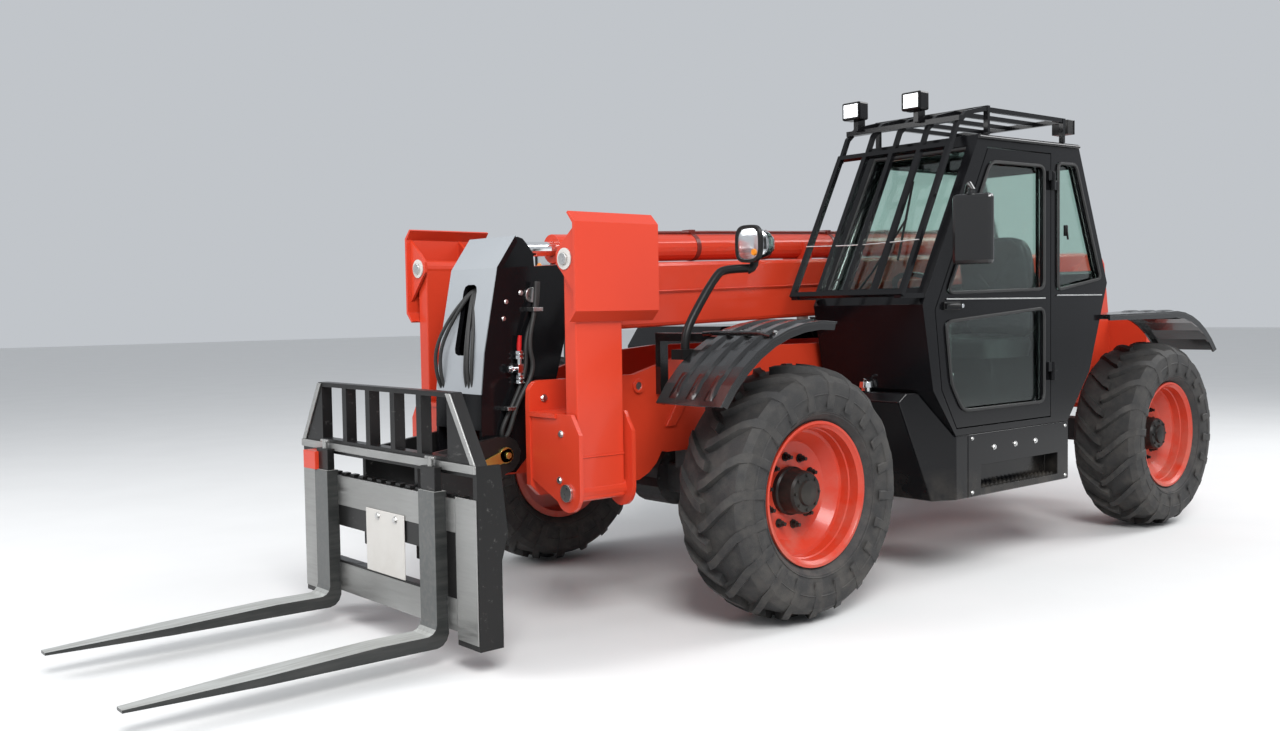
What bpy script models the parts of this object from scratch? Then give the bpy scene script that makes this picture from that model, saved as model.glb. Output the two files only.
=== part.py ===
"""A telehandler: a rigid-frame, four-wheel-steered forklift with a telescopic boom.

Frame: +X points forwards, +Y to the machine's left, +Z up. The origin is on the ground under the
middle of the machine's box. Metres throughout. The nodes are grouped under one empty per moving
body, and each empty stands on its joint's axis.
"""

import math

import bmesh
import bpy
from mathutils import Matrix, Vector

# ---------------------------------------------------------------- driving dimensions
SEAT_GAP = 0.0003            # between pieces that rest on each other
MOVING_GAP = 0.008           # between pieces that move past each other

WHEELBASE = 3.37
TRACK = 1.888                # between the tyres' middles
TYRE_RADIUS = 0.585
TYRE_WIDTH = 0.42
RIM_RADIUS = 0.312           # where the tyre's bead sits
RIM_FLANGE_RADIUS = 0.330
RIM_WIDTH = 0.330
HUB_RADIUS = 0.115
KINGPIN_OFFSET = 0.154       # from the tyre's middle inwards to the kingpin
KINGPIN_RADIUS = 0.045

TAIL_REACH = 0.83            # from the rear axle to the end of the counterweight
FORK_LENGTH = 1.20
FORK_WIDTH = 0.125
FORK_THICKNESS = 0.045
FORK_SPACING = 0.93          # between the forks' middles
FORK_FACE_REACH = 1.63       # from the front axle to the forks' upright faces

FRAME_HALF_WIDTH = 0.345     # outside of the chassis side plates
FRAME_PLATE = 0.030
FRAME_BOTTOM_Z = 0.735

BOOM_PIVOT_REACH = 3.85      # behind the front axle
BOOM_PIVOT_Z = 1.618
BOOM_SLOPE = 1.7             # degrees that the resting boom points down at its nose
BOOM_WIDTH = 0.40
BOOM_HEIGHT = 0.32
BOOM_WALL = 0.018
BOOM_LENGTH = 4.45           # from the pivot to the nose of the outer section
BOOM_STROKE = 3.00
WEAR_PAD_GAP = 0.0004
INNER_SIDE_GAP = 0.012       # between the two boom sections, filled by wear pads at their ends

CARRIAGE_HALF_WIDTH = 0.754
CARRIAGE_BOTTOM_Z = 0.106
CARRIAGE_BAR_Z = 0.83        # top of the long bar
CARRIAGE_TOP_Z = 1.11        # top of the load backrest
CARRIAGE_PLATE = 0.050

LEG_LENGTH = 0.995           # from the leg's hinge to the foot's pin
LEG_WIDTH = 0.255
LEG_THICKNESS = 0.080
LEG_HINGE_Z = 0.650
LEG_Y = 0.600
LEG_REACH = 0.865            # ahead of the front axle
FOOT_SIZE = 0.465
FOOT_PLATE = 0.016

CAB_INNER_Y = 0.400
CAB_OUTER_Y = 1.100
CAB_FLOOR_Z = 0.760
CAB_WALL = 0.050
GLASS = 0.006
DOOR_GAP = 0.006

# ---------------------------------------------------------------- what follows from them
FRONT_X = (WHEELBASE + TAIL_REACH - FORK_FACE_REACH - FORK_LENGTH) / 2
REAR_X = FRONT_X - WHEELBASE
AXLE_Z = TYRE_RADIUS
WHEEL_Y = TRACK / 2
KINGPIN_Y = WHEEL_Y - KINGPIN_OFFSET
BOOM_PIVOT_X = FRONT_X - BOOM_PIVOT_REACH
FRAME_INNER_Y = FRAME_HALF_WIDTH - FRAME_PLATE

PARTS = "telehandler"
TOOLS = "cutters"


# ---------------------------------------------------------------- scene and shape helpers
def clear_scene():
    for old in list(bpy.data.objects):
        bpy.data.objects.remove(old, do_unlink=True)


def collection(name):
    found = bpy.data.collections.get(name)
    if found is None:
        found = bpy.data.collections.new(name)
        bpy.context.scene.collection.children.link(found)
    return found


def material(name, colour, roughness, metallic=0.0, alpha=1.0):
    made = bpy.data.materials.new(name)
    made.use_nodes = True
    shader = made.node_tree.nodes["Principled BSDF"]
    shader.inputs["Base Color"].default_value = (*colour, 1.0)
    shader.inputs["Roughness"].default_value = roughness
    shader.inputs["Metallic"].default_value = metallic
    shader.inputs["Alpha"].default_value = alpha
    return made


def move_to(obj, name):
    for holder in list(obj.users_collection):
        holder.objects.unlink(obj)
    collection(name).objects.link(obj)
    return obj


def mesh_of(obj):
    """The object again as a plain mesh, with its modifiers or its curve worked out."""
    graph = bpy.context.evaluated_depsgraph_get()
    graph.update()
    made = bpy.data.meshes.new_from_object(obj.evaluated_get(graph), depsgraph=graph)
    cleaner = bmesh.new()
    cleaner.from_mesh(made)
    bmesh.ops.remove_doubles(cleaner, verts=cleaner.verts, dist=0.00001)
    cleaner.to_mesh(made)
    cleaner.free()
    plain = bpy.data.objects.new(obj.name, made)
    plain.matrix_world = obj.matrix_world.copy()
    name = obj.name
    bpy.data.objects.remove(obj, do_unlink=True)
    plain.name = name
    return move_to(plain, PARTS)


def block(name, low, high, bevel=0.0):
    """A box between two corners, its edges bevelled by a small width."""
    low, high = Vector(low), Vector(high)
    bpy.ops.mesh.primitive_cube_add(size=1, location=(low + high) / 2)
    obj = bpy.context.object
    obj.name = name
    obj.data.transform(Matrix.Diagonal((*(high - low), 1.0)))
    move_to(obj, PARTS)
    if bevel:
        edge = obj.modifiers.new("edges", "BEVEL")
        edge.width = bevel
        edge.segments = 2
        return mesh_of(obj)
    return obj


def drum(name, start, end, radius, sides=20):
    """A round bar from one point to another."""
    start, end = Vector(start), Vector(end)
    along = end - start
    bpy.ops.mesh.primitive_cylinder_add(vertices=sides, radius=radius, depth=along.length)
    obj = bpy.context.object
    obj.name = name
    obj.rotation_euler = along.to_track_quat("Z", "Y").to_euler()
    obj.location = (start + end) / 2
    bpy.context.view_layer.update()
    return move_to(obj, PARTS)


PLANES = {
    "XZ": (math.radians(90), 0, 0),
    "YZ": (math.radians(90), 0, math.radians(90)),
    "XY": (0, 0, 0),
}


def plate(name, outline, low, high, plane="XZ", holes=()):
    """A flat outline, with holes, given a thickness from low to high along the plane's normal."""
    curve = bpy.data.curves.new(name, "CURVE")
    curve.dimensions = "2D"
    curve.fill_mode = "BOTH"
    curve.extrude = abs(high - low) / 2
    for ring in (outline, *holes):
        spline = curve.splines.new("POLY")
        spline.points.add(len(ring) - 1)
        for point, (across, up) in zip(spline.points, ring):
            point.co = (across, up, 0, 1)
        spline.use_cyclic_u = True
    obj = bpy.data.objects.new(name, curve)
    collection(PARTS).objects.link(obj)
    obj.rotation_euler = PLANES[plane]
    middle = (low + high) / 2
    obj.location = {"XZ": (0, middle, 0), "YZ": (middle, 0, 0), "XY": (0, 0, middle)}[plane]
    bpy.context.view_layer.update()
    return mesh_of(obj)


def pipe(name, points, radius, sides=2):
    """A round bar bent along points."""
    curve = bpy.data.curves.new(name, "CURVE")
    curve.dimensions = "3D"
    curve.bevel_depth = radius
    curve.bevel_resolution = sides
    curve.use_fill_caps = True
    spline = curve.splines.new("POLY")
    spline.points.add(len(points) - 1)
    for point, place in zip(spline.points, points):
        point.co = (*place, 1)
    obj = bpy.data.objects.new(name, curve)
    collection(PARTS).objects.link(obj)
    bpy.context.view_layer.update()
    return mesh_of(obj)


def turned(name, profile, centre, steps=24):
    """A profile of (along, radius) points turned about the Y axis through centre."""
    mesh = bpy.data.meshes.new(name)
    points = [(radius, along, 0) for along, radius in profile]
    ring = len(points)
    mesh.from_pydata(points, [(i, (i + 1) % ring) for i in range(ring)], [])
    obj = bpy.data.objects.new(name, mesh)
    collection(PARTS).objects.link(obj)
    obj.location = centre
    screw = obj.modifiers.new("turn", "SCREW")
    screw.axis = "Y"
    screw.steps = screw.render_steps = steps
    screw.use_merge_vertices = True
    screw.merge_threshold = 0.0001
    bpy.context.view_layer.update()
    solid = mesh_of(obj)
    facing = bmesh.new()
    facing.from_mesh(solid.data)
    bmesh.ops.recalc_face_normals(facing, faces=facing.faces)
    facing.to_mesh(solid.data)
    facing.free()
    return solid


def arc(centre, radius, start, end, count):
    """Points on a circle, with angles in degrees."""
    step = (end - start) / (count - 1)
    angles = [math.radians(start + step * i) for i in range(count)]
    return [(centre[0] + radius * math.cos(a), centre[1] + radius * math.sin(a)) for a in angles]


def band(points, width):
    """The outline of a flat bar of this width that follows points in one plane."""
    left, right = [], []
    for i, point in enumerate(points):
        before = Vector(points[max(i - 1, 0)])
        after = Vector(points[min(i + 1, len(points) - 1)])
        along = (after - before).normalized()
        across = Vector((-along.y, along.x)) * width / 2
        left.append(tuple(Vector(point) + across))
        right.append(tuple(Vector(point) - across))
    return left + right[::-1]


def combine(obj, others, operation="UNION"):
    """Joins or cuts a solid with others, which become hidden tools."""
    for other in others:
        other.name = obj.name + "_tool_" + other.name
        move_to(other, TOOLS)
        other.hide_render = True
        other.display_type = "WIRE"
        tool = obj.modifiers.new(operation.lower(), "BOOLEAN")
        tool.operation = operation
        tool.solver = "EXACT"
        tool.object = other
    return obj


def cut(obj, others):
    return combine(obj, others, "DIFFERENCE")


def finish(obj, name, finish_material, body, smooth=False):
    """Names a finished solid, gives it its material and hangs it on its moving body."""
    obj.name = name
    obj.data.materials.clear()
    obj.data.materials.append(finish_material)
    if smooth:
        obj.data.shade_smooth()
        obj.data.set_sharp_from_angle(angle=math.radians(35))
    bpy.context.view_layer.update()
    world = obj.matrix_world.copy()
    obj.parent = body
    obj.matrix_world = world
    return obj


def axis_empty(name, location, parent=None):
    empty = bpy.data.objects.new(name, None)
    collection(PARTS).objects.link(empty)
    empty.location = location
    bpy.context.view_layer.update()
    if parent:
        world = empty.matrix_world.copy()
        empty.parent = parent
        empty.matrix_world = world
    return empty


def mirror_y(points, side):
    return [(x, side * y, z) for x, y, z in points]


def span_y(low, high, side):
    """Two distances from the machine's middle, as an ordered pair of y on that side."""
    return tuple(sorted((side * low, side * high)))


# ---------------------------------------------------------------- running gear
TYRE_PROFILE = [
    (0.1475, 0.0), (0.1475, 0.021), (0.185, 0.040), (0.210, 0.130), (0.205, 0.205),
    (0.185, 0.252), (0.140, 0.273),
]                            # half of the section: across from the middle, out from the bead


def make_tyre(name, wheel_y, axle_x, body, finish_material):
    tread = TYRE_RADIUS - RIM_RADIUS
    scale_out = tread / TYRE_PROFILE[-1][1]
    scale_across = TYRE_WIDTH / 2 / TYRE_PROFILE[3][0]
    side = [(a * scale_across, RIM_RADIUS + r * scale_out) for a, r in TYRE_PROFILE]
    profile = side + [(-a, r) for a, r in reversed(side)]
    tyre = turned(name, profile, (axle_x, wheel_y, AXLE_Z))
    return finish(tyre, name, finish_material, body, smooth=True)


def make_rim(name, wheel_y, axle_x, side, body, finish_material):
    """A deep-dished rim with its hub drum; the dish is open towards the outside."""
    half = RIM_WIDTH / 2
    seat = RIM_RADIUS - SEAT_GAP
    bead = 0.014
    profile = [
        (half, RIM_FLANGE_RADIUS), (half - bead, RIM_FLANGE_RADIUS), (half - bead - 0.003, seat),
        (-half + bead + 0.003, seat), (-half + bead, RIM_FLANGE_RADIUS),
        (-half, RIM_FLANGE_RADIUS), (-half, seat - 0.015), (-0.035, seat - 0.030),
        (-0.060, HUB_RADIUS), (-0.060, 0.0), (0.125, 0.0), (0.125, HUB_RADIUS - 0.020),
        (0.010, HUB_RADIUS), (0.0, 0.225), (0.060, 0.275), (half, seat - 0.010),
    ]
    points = [(side * along, radius) for along, radius in profile]
    rim = turned(name, points, (axle_x, wheel_y, AXLE_Z))
    return finish(rim, name, finish_material, body, smooth=True)


KNUCKLE_INNER = 0.075        # half of the knuckle's width along the machine
YOKE_HALF_HEIGHT = 0.165     # outside of the axle's yoke arms
YOKE_ARM = 0.035


def make_knuckle(name, axle_x, side, body, finish_material):
    """The swivel housing between the yoke arms, with a spindle out to the hub."""
    spindle_end = WHEEL_Y - 0.060 - SEAT_GAP
    height = YOKE_HALF_HEIGHT - YOKE_ARM - SEAT_GAP
    core = drum(name, (axle_x, side * KINGPIN_Y, AXLE_Z - height),
                (axle_x, side * KINGPIN_Y, AXLE_Z + height), KNUCKLE_INNER)
    spindle = drum("spindle", (axle_x, side * KINGPIN_Y, AXLE_Z),
                   (axle_x, side * spindle_end, AXLE_Z), 0.095)
    arm_y = span_y(KINGPIN_Y - 0.02, KINGPIN_Y + 0.02, side)
    rear = -1 if axle_x == FRONT_X else 1
    arm_x = sorted((axle_x + rear * 0.05, axle_x + rear * 0.17))
    arm = block("arm", (arm_x[0], arm_y[0], AXLE_Z - 0.02), (arm_x[1], arm_y[1], AXLE_Z + 0.02))
    combine(core, [spindle, arm])
    return finish(core, name, finish_material, body, smooth=True)


def make_axle(name, axle_x, finish_material, body):
    """An axle beam with a drive housing in the middle and a yoke at each end."""
    yoke_root = KINGPIN_Y - 0.105
    beam = block(name, (axle_x - 0.075, -yoke_root, AXLE_Z - 0.075),
                 (axle_x + 0.075, yoke_root, AXLE_Z + 0.075), 0.015)
    housing = drum("housing", (axle_x, -0.02, AXLE_Z), (axle_x, 0.19, AXLE_Z), 0.150)
    nose = drum("pinion", (axle_x, 0.08, AXLE_Z), (axle_x - 0.26, 0.08, AXLE_Z), 0.07)
    if axle_x == REAR_X:
        nose.location.x = axle_x + 0.13
    pieces = [housing, nose]
    for side in (1, -1):
        root = span_y(yoke_root - 0.035, yoke_root, side)
        pieces.append(block("root", (axle_x - 0.06, root[0], AXLE_Z - YOKE_HALF_HEIGHT),
                            (axle_x + 0.06, root[1], AXLE_Z + YOKE_HALF_HEIGHT)))
        arm = span_y(yoke_root - 0.02, KINGPIN_Y + KINGPIN_RADIUS, side)
        for up in (1, -1):
            heights = sorted((up * (YOKE_HALF_HEIGHT - YOKE_ARM), up * YOKE_HALF_HEIGHT))
            pieces.append(block("arm", (axle_x - 0.05, arm[0], AXLE_Z + heights[0]),
                                (axle_x + 0.05, arm[1], AXLE_Z + heights[1])))
        seat = span_y(FRAME_INNER_Y, FRAME_HALF_WIDTH, side)
        pieces.append(block("pad", (axle_x - 0.11, seat[0] - 0.03, AXLE_Z + 0.06),
                            (axle_x + 0.11, seat[1] + 0.02, FRAME_BOTTOM_Z - SEAT_GAP)))
    combine(beam, pieces)
    return finish(beam, name, finish_material, body)


# ---------------------------------------------------------------- chassis
NOSE_FRONT = 1.030           # distances ahead of the front axle
NOSE_TOP_Z = 1.120
FRAME_TOP_Z = 1.230
TOWER_TOP_Z = 1.780
BRACKET_PLATE = 0.020


def frame_outline():
    """The chassis side plate, seen from the left."""
    pivot_x = BOOM_PIVOT_X
    tail = REAR_X - TAIL_REACH + 0.14
    nose = FRONT_X + NOSE_FRONT
    return [
        (nose, 0.66), (nose, NOSE_TOP_Z - 0.10), *arc((nose - 0.06, NOSE_TOP_Z - 0.06), 0.06, 20, 90, 4),
        (FRONT_X + 0.42, NOSE_TOP_Z), (FRONT_X + 0.11, FRAME_TOP_Z - 0.03),
        (FRONT_X - 0.30, FRAME_TOP_Z), (REAR_X + 0.55, FRAME_TOP_Z),
        (pivot_x + 0.30, TOWER_TOP_Z - 0.17), *arc((pivot_x, BOOM_PIVOT_Z), 0.16, 60, 150, 6),
        (tail, FRAME_TOP_Z + 0.05), (tail, FRAME_BOTTOM_Z + 0.05),
        (tail + 0.05, FRAME_BOTTOM_Z), (FRONT_X + 0.22, FRAME_BOTTOM_Z),
        *arc((FRONT_X + 0.46, 0.84), 0.23, 205, 270, 5), (nose - 0.05, 0.61),
    ]


def bracket_outline(side):
    """The stabiliser's bracket plate, seen from the front."""
    hinge = (LEG_Y, LEG_HINGE_Z)
    points = [
        (FRAME_INNER_Y + 0.005, 0.70), (FRAME_INNER_Y + 0.005, 0.985), (LEG_Y + 0.03, 0.985),
        (LEG_Y + 0.085, 0.90), *arc(hinge, 0.085, 0, -150, 8),
    ]
    return [(side * y, z) for y, z in points]


def make_chassis(body, paint):
    """Two side plates joined by a floor, cross tubes and the stabilisers' brackets."""
    left = plate("chassis_frame", frame_outline(), FRAME_INNER_Y, FRAME_HALF_WIDTH)
    right = plate("right_side", frame_outline(), -FRAME_HALF_WIDTH, -FRAME_INNER_Y)
    tail = REAR_X - TAIL_REACH + 0.14
    reach = FRAME_INNER_Y + 0.01
    pieces = [
        right,
        block("floor", (REAR_X - 0.30, -reach, FRAME_BOTTOM_Z + 0.01),
              (FRONT_X + 0.10, reach, FRAME_BOTTOM_Z + 0.035)),
        block("tail_plate", (tail, -reach, FRAME_BOTTOM_Z + 0.02), (tail + 0.03, reach, 1.20)),
        block("nose_web", (FRONT_X + 0.40, -reach, 0.64), (FRONT_X + 0.43, reach, 0.95)),
        block("nose_floor", (FRONT_X + 0.05, -reach, 0.80), (FRONT_X + 0.41, reach, 0.825)),
        drum("cross_tube", (FRONT_X - 0.55, -reach, 1.02), (FRONT_X - 0.55, reach, 1.02), 0.05, 16),
        drum("pivot_boss_left", (BOOM_PIVOT_X, BOOM_WIDTH / 2 + WEAR_PAD_GAP, BOOM_PIVOT_Z),
             (BOOM_PIVOT_X, reach, BOOM_PIVOT_Z), 0.075),
        drum("pivot_boss_right", (BOOM_PIVOT_X, -reach, BOOM_PIVOT_Z),
             (BOOM_PIVOT_X, -BOOM_WIDTH / 2 - WEAR_PAD_GAP, BOOM_PIVOT_Z), 0.075),
    ]
    half = LEG_WIDTH / 2 + MOVING_GAP
    for side in (1, -1):
        for x in (FRONT_X + LEG_REACH - half - BRACKET_PLATE, FRONT_X + LEG_REACH + half):
            pieces.append(plate("bracket", bracket_outline(side), x, x + BRACKET_PLATE, "YZ"))
        web = span_y(FRAME_INNER_Y + 0.005, LEG_Y - LEG_THICKNESS / 2 - 0.03, side)
        pieces.append(block("shelf", (FRONT_X + LEG_REACH - half - 0.03, web[0], 0.965),
                            (FRONT_X + LEG_REACH + half + 0.03, web[1], 0.985)))
    lug_x, lug_z = lift_base()
    for side in (1, -1):
        lug_y = span_y(EYE_HALF_WIDTH + SEAT_GAP, EYE_HALF_WIDTH + 0.030, side)
        lug = [(lug_x - 0.11, FRAME_BOTTOM_Z + 0.02), (lug_x - 0.055, lug_z + 0.03),
               *arc((lug_x, lug_z), 0.06, 150, 30, 5), (lug_x + 0.07, FRAME_BOTTOM_Z + 0.02)]
        pieces.append(plate("lug", lug, *lug_y))
    combine(left, pieces)
    return finish(left, "chassis_frame", paint, body)


def make_counterweight(body, paint):
    """The cast weight that hangs behind the frame and wraps its tail."""
    tail = REAR_X - TAIL_REACH
    outline = [(tail, 0.72), (tail, 1.22), (tail + 0.06, 1.30), (tail + 0.14 - SEAT_GAP, 1.30),
               (tail + 0.14 - SEAT_GAP, 0.66), (tail + 0.05, 0.66)]
    weight = plate("counterweight", outline, -0.62, 0.62)
    return finish(weight, "counterweight", paint, body)


# ---------------------------------------------------------------- boom
BARREL_RADIUS = 0.070        # the extension cylinder on top of the boom
BARREL_Z = BOOM_HEIGHT / 2 + BARREL_RADIUS + 0.008
BARREL_BACK = 1.00
ROD_RADIUS = 0.035
HEAD_HALF_WIDTH = 0.190
HEAD_PLATE = 0.020
HEAD_BACK = 4.530            # from the boom pivot to the back of the head
CARRIAGE_PIVOT = (FRONT_X + 1.090, 0.790)
CARRIAGE_EAR_Y = 0.215
PIVOT_RADIUS = 0.045


def along_boom(reach, up, y=0.0):
    """A point given along and above the boom's middle line, in the machine's frame."""
    slope = math.radians(BOOM_SLOPE)
    return (BOOM_PIVOT_X + reach * math.cos(slope) + up * math.sin(slope), y,
            BOOM_PIVOT_Z - reach * math.sin(slope) + up * math.cos(slope))


def lay_along_boom(obj):
    """Turns a solid modelled level, from the pivot at the origin, into the boom's place."""
    turn = Matrix.Rotation(math.radians(BOOM_SLOPE), 4, "Y")
    place = Matrix.Translation((BOOM_PIVOT_X, 0, BOOM_PIVOT_Z))
    obj.matrix_world = place @ turn @ obj.matrix_world
    bpy.context.view_layer.update()
    return obj


def lift_base():
    """The lift cylinder's lower pin."""
    return (REAR_X + 0.27, 0.880)


LIFT_EYE_REACH = 2.30
LIFT_EYE_DROP = BOOM_HEIGHT / 2 + 0.15
LIFT_BARREL_RADIUS = 0.062
LIFT_ROD_RADIUS = 0.037
LIFT_BARREL_SHARE = 0.90     # of the distance between the pins when the boom rests
EYE_HALF_WIDTH = 0.045


def lift_eye():
    x, _, z = along_boom(LIFT_EYE_REACH, -LIFT_EYE_DROP)
    return (x, z)


def make_boom_outer(body, paint):
    """The outer boom section: a box tube with pivot bosses, ears and cylinder saddles."""
    half, high = BOOM_WIDTH / 2, BOOM_HEIGHT / 2
    tube = block("boom_outer", (-0.16, -half, -high), (BOOM_LENGTH, half, high), 0.02)
    bore = block("bore", (0.30, -half + BOOM_WALL, -high + BOOM_WALL),
                 (BOOM_LENGTH + 0.1, half - BOOM_WALL, high - BOOM_WALL))
    inner_half = half - BOOM_WALL - INNER_SIDE_GAP + WEAR_PAD_GAP
    inner_high = high - BOOM_WALL - INNER_SIDE_GAP + WEAR_PAD_GAP
    collar = block("collar", (BOOM_LENGTH - 0.20, -half - 0.012, -high - 0.012),
                   (BOOM_LENGTH, half + 0.012, high + 0.004), 0.008)
    pads = block("pads", (BOOM_LENGTH - 0.16, -half + 0.005, -high + 0.005),
                 (BOOM_LENGTH - 0.01, half - 0.005, high - 0.005))
    pass_through = block("pass", (0.35, -inner_half, -inner_high),
                         (BOOM_LENGTH + 0.2, inner_half, inner_high))
    ears = []
    for side in (1, -1):
        y = span_y(EYE_HALF_WIDTH + 0.005, EYE_HALF_WIDTH + 0.030, side)
        ear = [(LIFT_EYE_REACH - 0.16, -high + 0.01),
               *arc((LIFT_EYE_REACH, -LIFT_EYE_DROP), 0.055, 200, 340, 6),
               (LIFT_EYE_REACH + 0.16, -high + 0.01)]
        ears.append(plate("ear", ear, *y))
    saddles = []
    for x in (BARREL_BACK + 0.10, (BARREL_BACK + BOOM_LENGTH) / 2, BOOM_LENGTH - 0.25):
        saddle = block("saddle", (x - 0.03, -0.085, high - 0.01), (x + 0.03, 0.085, BARREL_Z + 0.02))
        saddles.append(saddle)
    hollow = drum("hollow", (BARREL_BACK - 0.5, 0, BARREL_Z), (BOOM_LENGTH + 0.5, 0, BARREL_Z),
                  BARREL_RADIUS + SEAT_GAP)
    cut(tube, [bore])
    tube = mesh_of(tube)
    combine(tube, [collar, pads, *ears, *saddles])
    cut(tube, [pass_through, hollow])
    tube = mesh_of(tube)
    return finish(lay_along_boom(tube), "boom_outer", paint, body)


def make_extension_cylinder(outer_body, inner_body, paint, chrome):
    """The cylinder on top of the boom: its barrel rides outside, its rod pulls the head."""
    end = BOOM_LENGTH + 0.03
    barrel = drum("barrel", (BARREL_BACK, 0, BARREL_Z), (end, 0, BARREL_Z), BARREL_RADIUS)
    bore = drum("bore", (BARREL_BACK + 0.15, 0, BARREL_Z), (end + 0.1, 0, BARREL_Z),
                ROD_RADIUS + WEAR_PAD_GAP, 20)
    cut(barrel, [bore])
    barrel = mesh_of(barrel)
    finish(lay_along_boom(barrel), "extension_barrel", paint, outer_body, smooth=True)
    rod = drum("rod", (BARREL_BACK + 0.20, 0, BARREL_Z), (HEAD_BACK + 0.165, 0, BARREL_Z),
               ROD_RADIUS, 20)
    eye = drum("eye", (HEAD_BACK + 0.20, -0.045, BARREL_Z), (HEAD_BACK + 0.20, 0.045, BARREL_Z),
               0.055)
    combine(rod, [eye])
    rod = mesh_of(rod)
    finish(lay_along_boom(rod), "extension_rod", chrome, inner_body, smooth=True)


def make_boom_inner(body, paint):
    """The inner boom section that slides in the outer one and carries the head."""
    half = BOOM_WIDTH / 2 - BOOM_WALL - INNER_SIDE_GAP
    high = BOOM_HEIGHT / 2 - BOOM_WALL - INNER_SIDE_GAP
    tube = block("boom_inner", (0.85, -half, -high), (HEAD_BACK - SEAT_GAP, half, high), 0.012)
    bore = block("bore", (0.80, -half + BOOM_WALL, -high + BOOM_WALL),
                 (HEAD_BACK - 0.05, half - BOOM_WALL, high - BOOM_WALL))
    reach = INNER_SIDE_GAP - WEAR_PAD_GAP
    pads = block("pads", (0.87, -half - reach, -high - reach), (1.02, half + reach, high + reach))
    combine(tube, [pads])
    tube = mesh_of(tube)
    cut(tube, [bore])
    tube = mesh_of(tube)
    return finish(lay_along_boom(tube), "boom_inner", paint, body)


def head_outline():
    """The boom head's side, in the machine's frame."""
    f = FRONT_X
    return [
        (f + 0.700, 1.640), (f + 0.700, 1.330), (f + 0.735, 1.210), (f + 0.790, 1.020),
        (f + 0.853, 0.872), (f + 0.930, 0.770), (f + 1.000, 0.700), *arc(CARRIAGE_PIVOT, 0.093, 250, 330, 4),
        (f + 1.180, 0.790), (f + 1.175, 1.060), (f + 1.155, 1.245), (f + 1.080, 1.620),
    ]


def make_head(body, black):
    """The black drop head: two side plates joined by a folded front with a hose slot."""
    w = HEAD_HALF_WIDTH
    f = FRONT_X
    side = plate("boom_head", head_outline(), w - HEAD_PLATE, w)
    other = plate("side", head_outline(), -w, -w + HEAD_PLATE)
    front = [(f + 0.976, 1.768), (f + 1.080, 1.622), (f + 1.157, 1.245), (f + 1.177, 1.060),
             (f + 1.181, 0.900), (f + 1.159, 0.900), (f + 1.155, 1.055), (f + 1.135, 1.235),
             (f + 1.060, 1.605), (f + 0.965, 1.740)]
    folded = plate("front", front, -w + 0.002, w - 0.002)
    slot = block("slot", (f + 0.95, -0.055, 1.23), (f + 1.25, 0.055, 1.55), 0.03)
    cut(folded, [slot])
    folded = mesh_of(folded)
    high = BOOM_HEIGHT / 2 - BOOM_WALL - INNER_SIDE_GAP
    flange = [(HEAD_BACK, high), (HEAD_BACK, -high), (HEAD_BACK + 0.05, -high), (HEAD_BACK + 0.05, high)]
    flange = [along_boom(*corner)[::2] for corner in flange]
    back = plate("back", flange, -w + 0.005, w - 0.005)
    pieces = [other, folded, back]
    rod_eye = along_boom(HEAD_BACK + 0.20, BARREL_Z)
    for s in (1, -1):
        ear = [(f + 0.790, 1.600), (f + 0.800, 1.700), *arc((rod_eye[0], rod_eye[2]), 0.055, 150, 60, 4),
               (f + 0.976, 1.766), (f + 1.062, 1.640), (f + 1.055, 1.600)]
        y = span_y(0.045 + SEAT_GAP, 0.075, s)
        pieces.append(plate("ear", ear, *y))
        boss = span_y(w - 0.01, CARRIAGE_EAR_Y - SEAT_GAP, s)
        pieces.append(drum("boss", (CARRIAGE_PIVOT[0], boss[0], CARRIAGE_PIVOT[1]),
                           (CARRIAGE_PIVOT[0], boss[1], CARRIAGE_PIVOT[1]), PIVOT_RADIUS))
        base = tilt_base()
        lug = [(base[0] - 0.06, base[1] + 0.10), (base[0] - 0.055, base[1] - 0.02),
               *arc(base, 0.05, 220, 330, 4), (base[0] + 0.06, base[1] + 0.10)]
        y = span_y(TILT_EYE_HALF_WIDTH + SEAT_GAP, TILT_EYE_HALF_WIDTH + 0.022, s)
        pieces.append(plate("lug", lug, *y))
    pieces.append(block("roof", (f + 0.702, -w + 0.009, 1.590), (f + 1.060, w - 0.009, 1.612)))
    combine(side, pieces)
    return finish(side, "boom_head", black, body)


# ---------------------------------------------------------------- tilt cylinder and carriage
TILT_EYE_HALF_WIDTH = 0.030
TILT_BARREL_RADIUS = 0.048
TILT_ROD_RADIUS = 0.026
TILT_BARREL_SHARE = 0.69
TILT_STROKE_IN = 0.150
TILT_LEVER = (0.105, 0.076)   # from the carriage's pivot back and down to the rod's eye


def tilt_base():
    """The tilt cylinder's upper pin, inside the head."""
    return (FRONT_X + 0.900, 1.500)


def tilt_eye():
    """The tilt cylinder's rod eye, on the carriage's lever behind and below its pivot."""
    return (CARRIAGE_PIVOT[0] - TILT_LEVER[0], CARRIAGE_PIVOT[1] - TILT_LEVER[1])


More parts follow.
